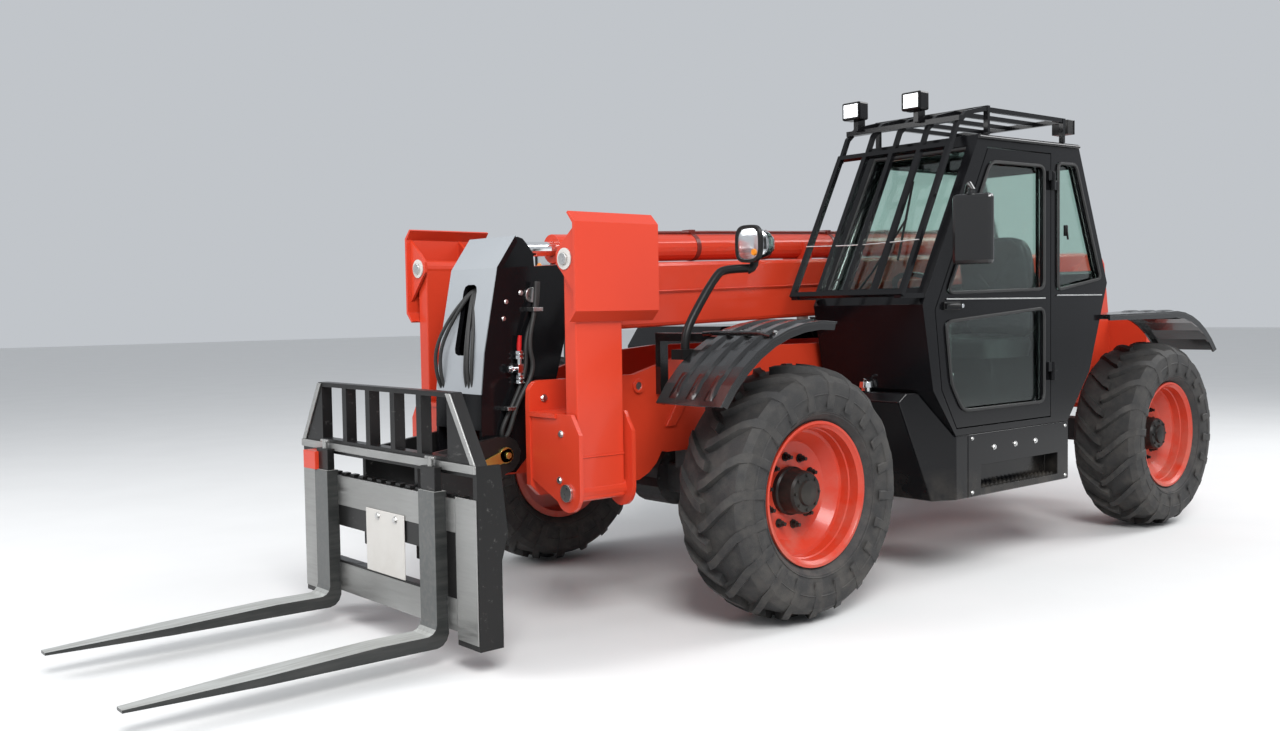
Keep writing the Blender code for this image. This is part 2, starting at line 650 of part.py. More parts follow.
def make_cylinder(prefix, base, eye, radii, eye_half, share, stroke_in, bodies, finishes):
    """A barrel with its base eye, and a rod with its far eye, in the plane y = 0.
    share is the barrel's part of the distance between the pins, stroke_in how far the rod still goes in."""
    start, end = Vector((base[0], 0, base[1])), Vector((eye[0], 0, eye[1]))
    along = (end - start).normalized()
    reach = (end - start).length
    barrel_radius, rod_radius, eye_radius = radii
    barrel_end = start + along * reach * share
    barrel = drum("barrel", start + along * (eye_radius + 0.05), barrel_end, barrel_radius)
    ring = drum("ring", (base[0], -eye_half, base[1]), (base[0], eye_half, base[1]), eye_radius)
    neck = drum("neck", start, start + along * (eye_radius + 0.07), eye_half * 0.9)
    combine(barrel, [ring, neck])
    barrel = mesh_of(barrel)
    bore = drum("bore", start + along * (eye_radius + 0.10), barrel_end + along * 0.1,
                rod_radius + WEAR_PAD_GAP, 16)
    cut(barrel, [bore])
    barrel = mesh_of(barrel)
    finish(barrel, prefix + "_barrel", finishes[0], bodies[0], smooth=True)
    rod = drum("rod", start + along * (eye_radius + 0.12 + stroke_in), end - along * eye_radius * 0.5,
               rod_radius, 16)
    far = drum("far", (eye[0], -eye_half, eye[1]), (eye[0], eye_half, eye[1]), eye_radius)
    combine(rod, [far])
    rod = mesh_of(rod)
    finish(rod, prefix + "_rod", finishes[1], bodies[1], smooth=True)


def make_carriage(body, black):
    """The fork frame: bars, side plates, a barred backrest and the ears on the boom head."""
    back = FRONT_X + FORK_FACE_REACH - FORK_THICKNESS - 0.010
    front = back - SEAT_GAP
    rear = front - CARRIAGE_PLATE
    w = CARRIAGE_HALF_WIDTH
    z0, bar, top = CARRIAGE_BOTTOM_Z, CARRIAGE_BAR_Z, CARRIAGE_TOP_Z
    rise = (top - bar) * 0.62
    outline = [(-w, z0), (-w, bar), (-w + rise, top), (w - rise, top), (w, bar), (w, z0),
               (w - 0.16, z0), (w - 0.16, z0 + 0.06), (-w + 0.16, z0 + 0.06), (-w + 0.16, z0)]
    holes = [[(-0.50, 0.30), (0.50, 0.30), (0.50, 0.46), (-0.50, 0.46)],
             [(-w + 0.03, 0.69), (w - 0.03, 0.69), (w - 0.03, bar - 0.045), (-w + 0.03, bar - 0.045)]]
    count = 6
    inner = w - rise - 0.035
    pitch = 2 * inner / (count - 1)
    for i in range(count - 1):
        low = -inner + i * pitch + (0.02 if i else 0.0)
        high = -inner + (i + 1) * pitch - (0.02 if i < count - 2 else 0.0)
        holes.append([(low, bar + 0.02), (high, bar + 0.02), (high, top - 0.02), (low, top - 0.02)])
    frame = plate("fork_frame", outline, rear, front, "YZ", holes)
    pieces = []
    for s in (1, -1):
        y = span_y(w - 0.016, w, s)
        pieces.append(plate("cheek", [(rear - 0.06, z0), (rear - 0.06, 0.45), (rear - 0.09, 0.55),
                                      (rear - 0.06, bar), (front, bar), (front, z0)], *y))
        y = span_y(CARRIAGE_EAR_Y, CARRIAGE_EAR_Y + 0.025, s)
        px, pz = CARRIAGE_PIVOT
        ear = [(rear + 0.01, pz + 0.03), (px + 0.03, pz + 0.085), *arc((px, pz), 0.085, 70, 270, 7),
               (rear - 0.10, pz - 0.36), (rear + 0.01, pz - 0.40)]
        pieces.append(plate("ear", ear, *y))
        eye = tilt_eye()
        y = span_y(TILT_EYE_HALF_WIDTH + 0.005, TILT_EYE_HALF_WIDTH + 0.025, s)
        lever = [*arc(eye, 0.045, 126, 306, 6), *arc((px + 0.01, pz - 0.02), 0.055, 306, 486, 6)]
        pieces.append(plate("lever", lever, *y))
    px, pz = CARRIAGE_PIVOT
    reach = HEAD_HALF_WIDTH - HEAD_PLATE - MOVING_GAP
    pieces.append(block("lever_tube", (px - 0.010, -reach, pz - 0.055), (px + 0.055, reach, pz - 0.005)))
    pieces.append(block("tie", (px + 0.115, -CARRIAGE_EAR_Y - 0.01, pz - 0.16),
                        (px + 0.150, CARRIAGE_EAR_Y + 0.01, pz - 0.02)))
    pieces.append(plate("tongue", [(px + 0.02, pz - 0.055), (px + 0.13, pz - 0.03),
                                   (px + 0.13, pz - 0.12), (px + 0.02, pz - 0.075)],
                        -0.060, 0.060))
    combine(frame, pieces)
    return finish(frame, "fork_frame", black, body)


def make_fork(name, y, body, steel):
    """An L-shaped fork hung on the carriage, its blade tapering to the tip."""
    face = FRONT_X + FORK_FACE_REACH
    back = face - FORK_THICKNESS - 0.010
    low = CARRIAGE_BOTTOM_Z - 0.020
    half = FORK_WIDTH / 2
    t = FORK_THICKNESS
    profile = [
        (back, 0.66), (back, low + 0.05), *arc((back + 0.06, low + 0.06), 0.06, 190, 265, 4),
        (face + FORK_LENGTH, low + 0.012), (face + FORK_LENGTH, low + 0.024),
        (face + 0.25, low + t + 0.012), (face + 0.05, low + t + 0.010),
        *arc((face + 0.045, low + t + 0.055), 0.045, 260, 185, 4), (face, 0.66),
    ]
    blade = plate(name, profile, y - half, y + half)
    taper = 0.035
    sides = []
    for s in (1, -1):
        sides.append(plate("taper", [(face + 0.70, y + s * (half + 0.001)),
                                     (face + FORK_LENGTH + 0.01, y + s * (half - taper)),
                                     (face + FORK_LENGTH + 0.01, y + s * (half + 0.10)),
                                     (face + 0.70, y + s * (half + 0.10))], -0.1, 0.5, "XY"))
    cut(blade, sides)
    blade = mesh_of(blade)
    post = block("post", (back, y - half, 0.64), (face, y + half, 0.715))
    combine(blade, [post])
    return finish(blade, name, steel, body)


# ---------------------------------------------------------------- stabilisers
FOOT_PIN_Z = LEG_HINGE_Z + LEG_LENGTH
FOOT_FACE = 0.095            # from the foot's pin out to its sole


def make_leg(name, side, body, paint):
    """A box leg hinged low on the bracket, standing upright when stowed."""
    x = FRONT_X + LEG_REACH
    y = span_y(LEG_Y - LEG_THICKNESS / 2, LEG_Y + LEG_THICKNESS / 2, side)
    beam = block(name, (x - LEG_WIDTH / 2, y[0], LEG_HINGE_Z - 0.035),
                 (x + LEG_WIDTH / 2, y[1], FOOT_PIN_Z + 0.02), 0.006)
    wide = LEG_WIDTH / 2 + MOVING_GAP - SEAT_GAP
    hinge = drum("hinge", (x - wide, side * LEG_Y, LEG_HINGE_Z),
                 (x + wide, side * LEG_Y, LEG_HINGE_Z), 0.045)
    pin = drum("pin", (x - wide, side * LEG_Y, FOOT_PIN_Z), (x + wide, side * LEG_Y, FOOT_PIN_Z),
               LEG_THICKNESS / 2 + 0.002)
    combine(beam, [hinge, pin])
    return finish(beam, name, paint, body)


def make_foot(name, side, body, paint):
    """A pressed foot with a bent rim and two ears on the leg's pin."""
    x = FRONT_X + LEG_REACH - 0.064
    half = FOOT_SIZE / 2
    sole = LEG_Y + FOOT_FACE
    middle = FOOT_PIN_Z - 0.035
    lip = 0.045
    section = [
        (sole - lip, middle - half), (sole, middle - half + lip), (sole, middle + half - lip),
        (sole - lip, middle + half), (sole - lip - 0.010, middle + half - 0.006),
        (sole - FOOT_PLATE, middle + half - lip - 0.006), (sole - FOOT_PLATE, middle - half + lip + 0.006),
        (sole - lip - 0.010, middle - half + 0.006),
    ]
    pan = plate(name, [(side * y, z) for y, z in section], x - half, x + half, "YZ")
    ears = []
    inner = FRONT_X + LEG_REACH
    for at in (inner - LEG_WIDTH / 2 - MOVING_GAP - 0.014, inner + LEG_WIDTH / 2 + MOVING_GAP):
        outline = [(sole - 0.010, FOOT_PIN_Z + 0.15), (sole - 0.010, FOOT_PIN_Z - 0.17),
                   (LEG_Y - 0.02, FOOT_PIN_Z - 0.060), (LEG_Y - 0.062, FOOT_PIN_Z - 0.02),
                   (LEG_Y - 0.062, FOOT_PIN_Z + 0.03), (LEG_Y - 0.02, FOOT_PIN_Z + 0.070)]
        ears.append(plate("ear", [(side * y, z) for y, z in outline], at, at + 0.014, "YZ"))
    stop = span_y(LEG_Y + LEG_THICKNESS / 2 + SEAT_GAP, sole - 0.010, side)
    ears.append(block("stop", (inner - 0.04, stop[0], middle - half + 0.06),
                      (inner + 0.04, stop[1], middle - half + 0.10)))
    combine(pan, ears)
    return finish(pan, name, paint, body)


# ---------------------------------------------------------------- cab and body panels
def cab_outline(inset=0.0):
    """The cab's side profile, seen from the left, moved inwards by inset."""
    f = FRONT_X
    points = [
        (f - 1.075, CAB_FLOOR_Z), (f - 0.885, 1.000), (f - 0.800, 1.430), (f - 1.290, 2.300),
        (f - 2.270, 2.320), (f - 2.600, 1.540), (f - 2.400, 1.030), (f - 2.160, CAB_FLOOR_Z),
    ]
    return offset(points, inset)


def offset(points, inset):
    """The outline moved inwards by a distance; its points run anticlockwise."""
    if not inset:
        return points
    moved = []
    for i, point in enumerate(points):
        before, after = Vector(points[i - 1]), Vector(points[(i + 1) % len(points)])
        here = Vector(point)
        one, two = (here - before).normalized(), (after - here).normalized()
        inward = (Vector((-one.y, one.x)) + Vector((-two.y, two.x))).normalized()
        share = max(0.3, inward.dot(Vector((-one.y, one.x))))
        moved.append(tuple(here + inward * inset / share))
    return moved


PILLAR_X = -1.975            # the door's hinge line, behind the front axle


def door_outline(inset=0.0):
    f = FRONT_X
    points = [(f - 1.085, 0.800), (f - 0.960, 1.000), (f - 0.905, 1.400), (f - 1.370, 2.235),
              (f + PILLAR_X, 2.245), (f + PILLAR_X, 0.800)]
    return offset(points, inset)


def door_windows(inset=0.0):
    """The door's upper and lower panes."""
    f = FRONT_X
    rear = f + PILLAR_X + 0.075
    upper = [(f - 1.000, 1.485), (f - 1.385, 2.165), (rear, 2.175), (rear, 1.505)]
    lower = [(f - 1.130, 0.885), (f - 1.030, 1.030), (f - 0.985, 1.340), (rear, 1.400), (rear, 0.885)]
    return [offset(upper, inset), offset(lower, inset)]


def quarter_outline(inset=0.0):
    f = FRONT_X
    points = [(f - 2.045, 1.500), (f - 2.045, 2.200), (f - 2.235, 2.205), (f - 2.515, 1.565)]
    return offset(points, inset)


def right_window_outline(inset=0.0):
    f = FRONT_X
    points = [(f - 0.970, 1.480), (f - 1.380, 2.200), (f - 2.220, 2.210), (f - 2.490, 1.560)]
    return offset(points, inset)


def sloped(name, low_edge, high_edge, y, thickness, inset=0.0):
    """A flat pane or cutter between a low and a high (x, z) edge, spanning y, centred on them."""
    a, b = Vector(low_edge), Vector(high_edge)
    along = (b - a).normalized()
    across = Vector((along.y, -along.x))
    a, b = a + along * inset, b - along * inset
    corners = [a + across * thickness / 2, b + across * thickness / 2,
               b - across * thickness / 2, a - across * thickness / 2]
    return plate(name, [tuple(c) for c in corners], y[0] + inset, y[1] - inset)


def pane_edges():
    """The low and high edges of the windscreen, the rear window and the roof window."""
    f = FRONT_X
    wall = CAB_WALL / 2
    return {
        "windscreen": ((f - 0.865 - wall, 1.490), (f - 1.275 - wall, 2.218)),
        "rear_window": ((f - 2.560 + wall, 1.600), (f - 2.310 + wall, 2.190)),
        "roof_window": ((f - 1.420, 2.3027 - wall), (f - 2.150, 2.3176 - wall)),
    }


def make_cab(body, black):
    """The hollow cab: walls as thick as the real panels, with its door and windows cut."""
    shell = plate("cab_shell", cab_outline(), CAB_INNER_Y, CAB_OUTER_Y)
    room = plate("room", cab_outline(CAB_WALL), CAB_INNER_Y + CAB_WALL, CAB_OUTER_Y - CAB_WALL)
    doorway = plate("doorway", door_outline(-DOOR_GAP), CAB_OUTER_Y - 0.1, CAB_OUTER_Y + 0.1)
    quarter = plate("quarter", quarter_outline(), CAB_OUTER_Y - 0.1, CAB_OUTER_Y + 0.1)
    right = plate("right", right_window_outline(), CAB_INNER_Y - 0.1, CAB_INNER_Y + 0.1)
    y = (CAB_INNER_Y + 0.055, CAB_OUTER_Y - 0.055)
    cutters = [room, doorway, quarter, right]
    for low_edge, high_edge in pane_edges().values():
        cutters.append(sloped("opening", low_edge, high_edge, y, 0.2))
    cut(shell, cutters)
    shell = mesh_of(shell)
    hinges = []
    for z in (1.000, 2.050):
        x = FRONT_X + PILLAR_X
        hinges.append(drum("hinge", (x, HINGE_Y, z), (x, HINGE_Y, z + 0.05), 0.014, 12))
        hinges.append(block("hinge_leaf", (x - 0.050, CAB_OUTER_Y - 0.01, z),
                            (x - 0.004, HINGE_Y + 0.006, z + 0.05)))
    combine(shell, hinges)
    return finish(shell, "cab_shell", black, body)


HINGE_Y = CAB_OUTER_Y + 0.014


def make_cab_glass(body, glass):
    y = (CAB_INNER_Y + 0.055, CAB_OUTER_Y - 0.055)
    for name, (low_edge, high_edge) in pane_edges().items():
        pane = sloped(name, low_edge, high_edge, y, GLASS, SEAT_GAP)
        finish(pane, name, glass, body)
    middle = CAB_INNER_Y + CAB_WALL / 2
    pane = plate("right_window", right_window_outline(SEAT_GAP), middle - GLASS / 2, middle + GLASS / 2)
    finish(pane, "right_window", glass, body)
    middle = CAB_OUTER_Y - CAB_WALL / 2
    pane = plate("quarter_window", quarter_outline(SEAT_GAP), middle - GLASS / 2, middle + GLASS / 2)
    finish(pane, "quarter_window", glass, body)


def make_door(body, black, glass):
    """The cab door, hung on the pillar behind it, with two openings for its glass."""
    leaf = plate("door", door_outline(), CAB_OUTER_Y - CAB_WALL, CAB_OUTER_Y, "XZ", door_windows())
    pieces = []
    x = FRONT_X + PILLAR_X
    for z in (1.000, 2.050):
        low = z + 0.05 + SEAT_GAP
        pieces.append(drum("hinge", (x, HINGE_Y, low), (x, HINGE_Y, low + 0.05), 0.014, 12))
        pieces.append(block("hinge_leaf", (x + 0.004, CAB_OUTER_Y - 0.01, low),
                            (x + 0.050, HINGE_Y + 0.006, low + 0.05)))
    pieces.append(block("handle", (FRONT_X - 1.09, CAB_OUTER_Y - 0.01, 1.405),
                        (FRONT_X - 0.97, CAB_OUTER_Y + 0.022, 1.430)))
    combine(leaf, pieces)
    finish(leaf, "door", black, body)
    middle = CAB_OUTER_Y - CAB_WALL / 2
    for name, outline in zip(("door_upper_glass", "door_lower_glass"), door_windows(SEAT_GAP)):
        pane = plate(name, outline, middle - GLASS / 2, middle + GLASS / 2)
        finish(pane, name, glass, body)


def make_cab_inside(body, trim, black):
    """The seat on its pedestal, and the steering column with its wheel."""
    y = (CAB_INNER_Y + CAB_OUTER_Y) / 2
    x = FRONT_X - 1.82
    floor = CAB_FLOOR_Z + CAB_WALL + SEAT_GAP
    seat = block("seat", (x - 0.24, y - 0.24, 1.13), (x + 0.26, y + 0.24, 1.26), 0.03)
    back = block("back", (-0.06, -0.23, 0.0), (0.06, 0.23, 0.62), 0.03)
    back.matrix_world = Matrix.Translation((x - 0.22, y, 1.20)) @ Matrix.Rotation(-0.17, 4, "Y")
    pedestal = block("pedestal", (x - 0.17, y - 0.18, floor), (x + 0.17, y + 0.18, 1.16))
    combine(seat, [back, pedestal])
    finish(seat, "seat", trim, body)
    x = FRONT_X - 1.10
    column = block("steering_column", (x - 0.11, y - 0.11, floor + 0.12), (x + 0.0, y + 0.11, 1.36), 0.01)
    foot = block("foot", (x - 0.16, y - 0.13, floor), (x - 0.03, y + 0.13, floor + 0.16))
    shaft = drum("shaft", (x - 0.05, y, 1.30), (x - 0.20, y, 1.50), 0.025, 12)
    wheel = turned("wheel", [(-0.016, 0.165), (0.0, 0.182), (0.016, 0.165), (0.0, 0.148)], (0, 0, 0), 20)
    lean = Vector((-0.15, 0, 0.20)).to_track_quat("Y", "Z").to_matrix().to_4x4()
    wheel.matrix_world = Matrix.Translation((x - 0.195, y, 1.492)) @ lean
    spoke = drum("spoke", (x - 0.195, y - 0.165, 1.492), (x - 0.195, y + 0.165, 1.492), 0.012, 8)
    bpy.context.view_layer.update()
    combine(column, [foot, shaft, spoke, wheel])
    finish(column, "steering_column", black, body)


def make_guard(body, black):
    """The barred guard over the windscreen and roof, with two work lights on top."""
    f = FRONT_X
    low, high = Vector((f - 0.630, 1.475)), Vector((f - 1.035, 2.235))
    length = (high - low).length
    half = 0.36
    bar = 0.026
    count = 5
    pitch = (2 * half - bar) / (count - 1)
    front = block("cab_guard", (-half, 0, -bar / 2), (half, length, bar / 2))
    holes = []
    for i in range(count - 1):
        left = -half + bar + i * pitch
        holes.append(block("hole", (left, bar, -bar), (left + pitch - bar, length - bar, bar)))
    cut(front, holes)
    front = mesh_of(front)
    y = (CAB_INNER_Y + CAB_OUTER_Y) / 2
    up = Vector((high.x - low.x, 0, high.y - low.y)).normalized()
    side = Vector((0, 1, 0))
    out = side.cross(up)
    frame = Matrix((side, up, out)).transposed().to_4x4()
    front.matrix_world = Matrix.Translation((low.x, y, low.y)) @ frame @ front.matrix_world
    bpy.context.view_layer.update()
    pieces = []
    for i in range(count):
        across = y - half + bar / 2 + i * pitch
        roof = [(high.x + 0.006, high.y - 0.03), (f - 1.09, 2.330), (f - 1.17, 2.395),
                (f - 1.32, 2.430), (f - 2.12, 2.440)]
        pieces.append(plate("roof_bar", band(roof, bar * 0.9), across - bar * 0.4, across + bar * 0.4))
    for x in (f - 1.36, f - 2.10):
        pieces.append(block("cross_bar", (x - 0.012, y - half, 2.424), (x + 0.012, y + half, 2.450)))
    for s in (-1, 1):
        leg_y = y + s * (half - bar / 2)
        for x in (f - 1.36, f - 2.10):
            roof_z = 2.300 + 0.020 * (f - 1.290 - x) / 0.980 + SEAT_GAP
            pieces.append(block("leg", (x - 0.010, leg_y - 0.013, roof_z),
                                (x + 0.010, leg_y + 0.013, 2.430)))
        foot_y = y + s * (half - 0.03)
        pieces.append(block("foot", (f - 0.830 + 0.022, foot_y - 0.02, 1.462),
                            (f - 0.625, foot_y + 0.02, 1.486)))
    for lamp_y in (y - 0.27, y + 0.12):
        pieces.append(block("lamp", (f - 1.10, lamp_y - 0.06, 2.425), (f - 1.02, lamp_y + 0.06, 2.52), 0.01))
        pieces.append(block("lamp_stay", (f - 1.125, lamp_y - 0.015, 2.37), (f - 1.065, lamp_y + 0.015, 2.44)))
    pieces.append(block("lamp_rail", (f - 1.135, y - half, 2.352), (f - 1.095, y + half, 2.378)))
    combine(front, pieces)
    return finish(mesh_of(front), "cab_guard", black, body)


def make_side_tank(body, black):
    """The left lower box ahead of the cab: the tank with its ledge and chamfered corner."""
    f = FRONT_X
    top = CAB_FLOOR_Z - SEAT_GAP
    outline = [(f - 0.8955, 0.985), (f - 0.840, 0.985), (f - 0.800, 0.940), (f - 0.960, 0.430),
               (f - 2.100, 0.430), (f - 2.100, top), (f - 1.074, top)]
    tank = plate("side_tank", outline, FRAME_HALF_WIDTH + SEAT_GAP, CAB_OUTER_Y - 0.002)
    corner = plate("corner", [(f - 0.70, 0.90), (f - 0.70, 1.2), (f - 1.28, 1.2)], 0.3, 1.1, "XY")
    step_space = block("step_space", (f - 2.2, 0.960, 0.3), (f - 1.180, 1.2, 0.9))
    cut(tank, [corner, step_space])
    tank = mesh_of(tank)
    return finish(tank, "side_tank", black, body)


def make_step(body, black):
    f = FRONT_X
    step = block("step", (f - 2.170, 0.960 + SEAT_GAP, 0.430), (f - 1.180 - SEAT_GAP, 1.100, CAB_FLOOR_Z - SEAT_GAP), 0.008)
    well = block("well", (f - 2.05, 1.02, 0.470), (f - 1.30, 1.20, 0.590))
    cut(step, [well])
    return finish(mesh_of(step), "cab_step", black, body)


def make_engine(body, iron, black):
    """The engine block beside the frame on the right, under its open-bottomed cover."""
    f = FRONT_X
    wall = 0.020
    outer = plate("engine_cover", [(f - 0.800, 0.62), (f - 0.760, 1.20), (f - 0.850, 1.32), (f - 2.450, 1.32),
                                   (f - 2.620, 1.10), (f - 2.500, 0.62)],
                  -CAB_OUTER_Y, -FRAME_HALF_WIDTH - SEAT_GAP)
    room = plate("room", [(f - 0.825, 0.50), (f - 0.785, 1.19), (f - 0.860, 1.30), (f - 2.440, 1.30),
                          (f - 2.590, 1.10), (f - 2.470, 0.50)], -CAB_OUTER_Y + wall, -0.2)
    cut(outer, [room])
    finish(mesh_of(outer), "engine_cover", black, body)
    engine = block("engine_block", (f - 2.10, -0.95, 0.66),
                   (f - 1.15, -FRAME_HALF_WIDTH - SEAT_GAP, 1.20), 0.03)
    finish(engine, "engine_block", iron, body)


FENDER_RADIUS = 0.780
FENDER_THICKNESS = 0.010
FENDER_LEAD = 0.830          # of a rear fender, ahead of its axle


def fender_path(axle_x, front):
    """The fender's upper line: an arc about the axle, and behind the cab a flat lead."""
    centre = (axle_x, AXLE_Z)
    if front:
        outer = arc(centre, FENDER_RADIUS, 34, 97, 9)
        inner = arc(centre, FENDER_RADIUS - FENDER_THICKNESS, 97, 34, 9)
        return outer + inner
    outer = [(axle_x + FENDER_LEAD, AXLE_Z + FENDER_RADIUS - 0.01), *arc(centre, FENDER_RADIUS, 84, 138, 8)]
    inner = [*arc(centre, FENDER_RADIUS - FENDER_THICKNESS, 138, 84, 8),
             (axle_x + FENDER_LEAD, AXLE_Z + FENDER_RADIUS - 0.01 - FENDER_THICKNESS)]
    return outer + inner


def make_fender(name, axle_x, side, body, black):
    """A plastic mudguard on a steel arm that comes off the chassis plate."""
    front = axle_x == FRONT_X
    y = span_y(0.750, 1.150, side)
    guard = plate(name, fender_path(axle_x, front), *y)
    edges = []
    for at in (y[0] + 0.001, y[1] - 0.013):
        edges.append(plate("edge", fender_edge(axle_x, front), at, at + 0.012))
    arm_x = axle_x + (0.26 if front else -0.10)
    top = AXLE_Z + math.sqrt((FENDER_RADIUS - FENDER_THICKNESS) ** 2 - (arm_x - axle_x) ** 2)
    arm = span_y(FRAME_HALF_WIDTH + 0.005, 1.12, side)
    edges.append(block("arm", (arm_x - 0.03, arm[0], top - 0.035), (arm_x + 0.03, arm[1], top + 0.003)))
    post = span_y(FRAME_HALF_WIDTH + SEAT_GAP, FRAME_HALF_WIDTH + 0.035, side)
    edges.append(block("post", (arm_x - 0.025, post[0], 1.02), (arm_x + 0.025, post[1], top - 0.005)))
    combine(guard, edges)
    return finish(guard, name, black, body)


def fender_edge(axle_x, front):
    """The turned-down lip along a fender's side."""
    centre = (axle_x, AXLE_Z)
    out, inside = FENDER_RADIUS - 0.005, FENDER_RADIUS - 0.040
    if front:
        return arc(centre, out, 34.6, 96.4, 9) + arc(centre, inside, 96, 35, 9)
    high = AXLE_Z + FENDER_RADIUS - 0.015
    return [(axle_x + FENDER_LEAD - 0.003, high), *arc(centre, out, 84, 138, 8),
            *arc(centre, inside, 137, 84, 8), (axle_x + FENDER_LEAD - 0.003, high - 0.030)]


def make_headlamp(name, side, body, black):
    """A lamp on a bent tube that rises from the fender's inner edge."""
    f = FRONT_X
    y = 0.700
    top = AXLE_Z + FENDER_RADIUS
    post = [(f + 0.42, y, 1.215), (f + 0.42, y, 1.30), (f + 0.38, y, 1.38), (f + 0.22, y, 1.58),
            (f + 0.17, y + 0.01, 1.605), (f + 0.05, y + 0.06, 1.61)]
    stem = pipe(name, mirror_y(post, side), 0.020)
    lamp_y = span_y(0.700, 0.880, side)
    lamp = block("lamp", (f - 0.05, lamp_y[0], 1.64), (f + 0.10, lamp_y[1], 1.80), 0.03)
    foot = span_y(y - 0.03, 0.750 - SEAT_GAP, side)
    base = block("base", (f + 0.36, foot[0], 1.20), (f + 0.48, foot[1], 1.245))
    neck_y = span_y(0.740, 0.800, side)
    neck = block("neck", (f + 0.00, neck_y[0], 1.58), (f + 0.09, neck_y[1], 1.67))
    combine(stem, [lamp, base, neck])
    return finish(mesh_of(stem), name, black, body)


def make_mirror(name, side, body, black):
    """A rear-view mirror on a bent tube; the left one stands on the cab's front pillar."""
    f = FRONT_X
    x = f - 0.93
    if side > 0:
        path = [(f - 1.13, CAB_OUTER_Y + 0.015, 1.93), (f - 0.96, 1.25, 2.01), (x, 1.28, 2.01),
                (x, 1.30, 1.98), (x, 1.30, 1.90)]
    else:
        path = [(f - 0.93, 1.06, 1.35), (f - 0.93, 1.06, 1.90), (x, 1.10, 2.01), (x, 1.28, 2.01),
                (x, 1.30, 1.98), (x, 1.30, 1.90)]
    arm = pipe(name, mirror_y(path, side), 0.011)
    root_y = span_y(CAB_OUTER_Y + SEAT_GAP, CAB_OUTER_Y + 0.028, side)
    root = block("root", (f - 1.155, root_y[0], 1.90), (f - 1.105, root_y[1], 1.96))
    if side < 0:
        root.location = (f - 0.93, -1.06, 1.35 + SEAT_GAP)
    head = block("head", (-0.025, -0.10, -0.17), (0.025, 0.10, 0.17), 0.02)
    head.matrix_world = (Matrix.Translation((x, side * 1.30, 1.79))
                         @ Matrix.Rotation(side * math.radians(16), 4, "Z"))
    bpy.context.view_layer.update()
    combine(arm, [head, root])
    return finish(mesh_of(arm), name, black, body)


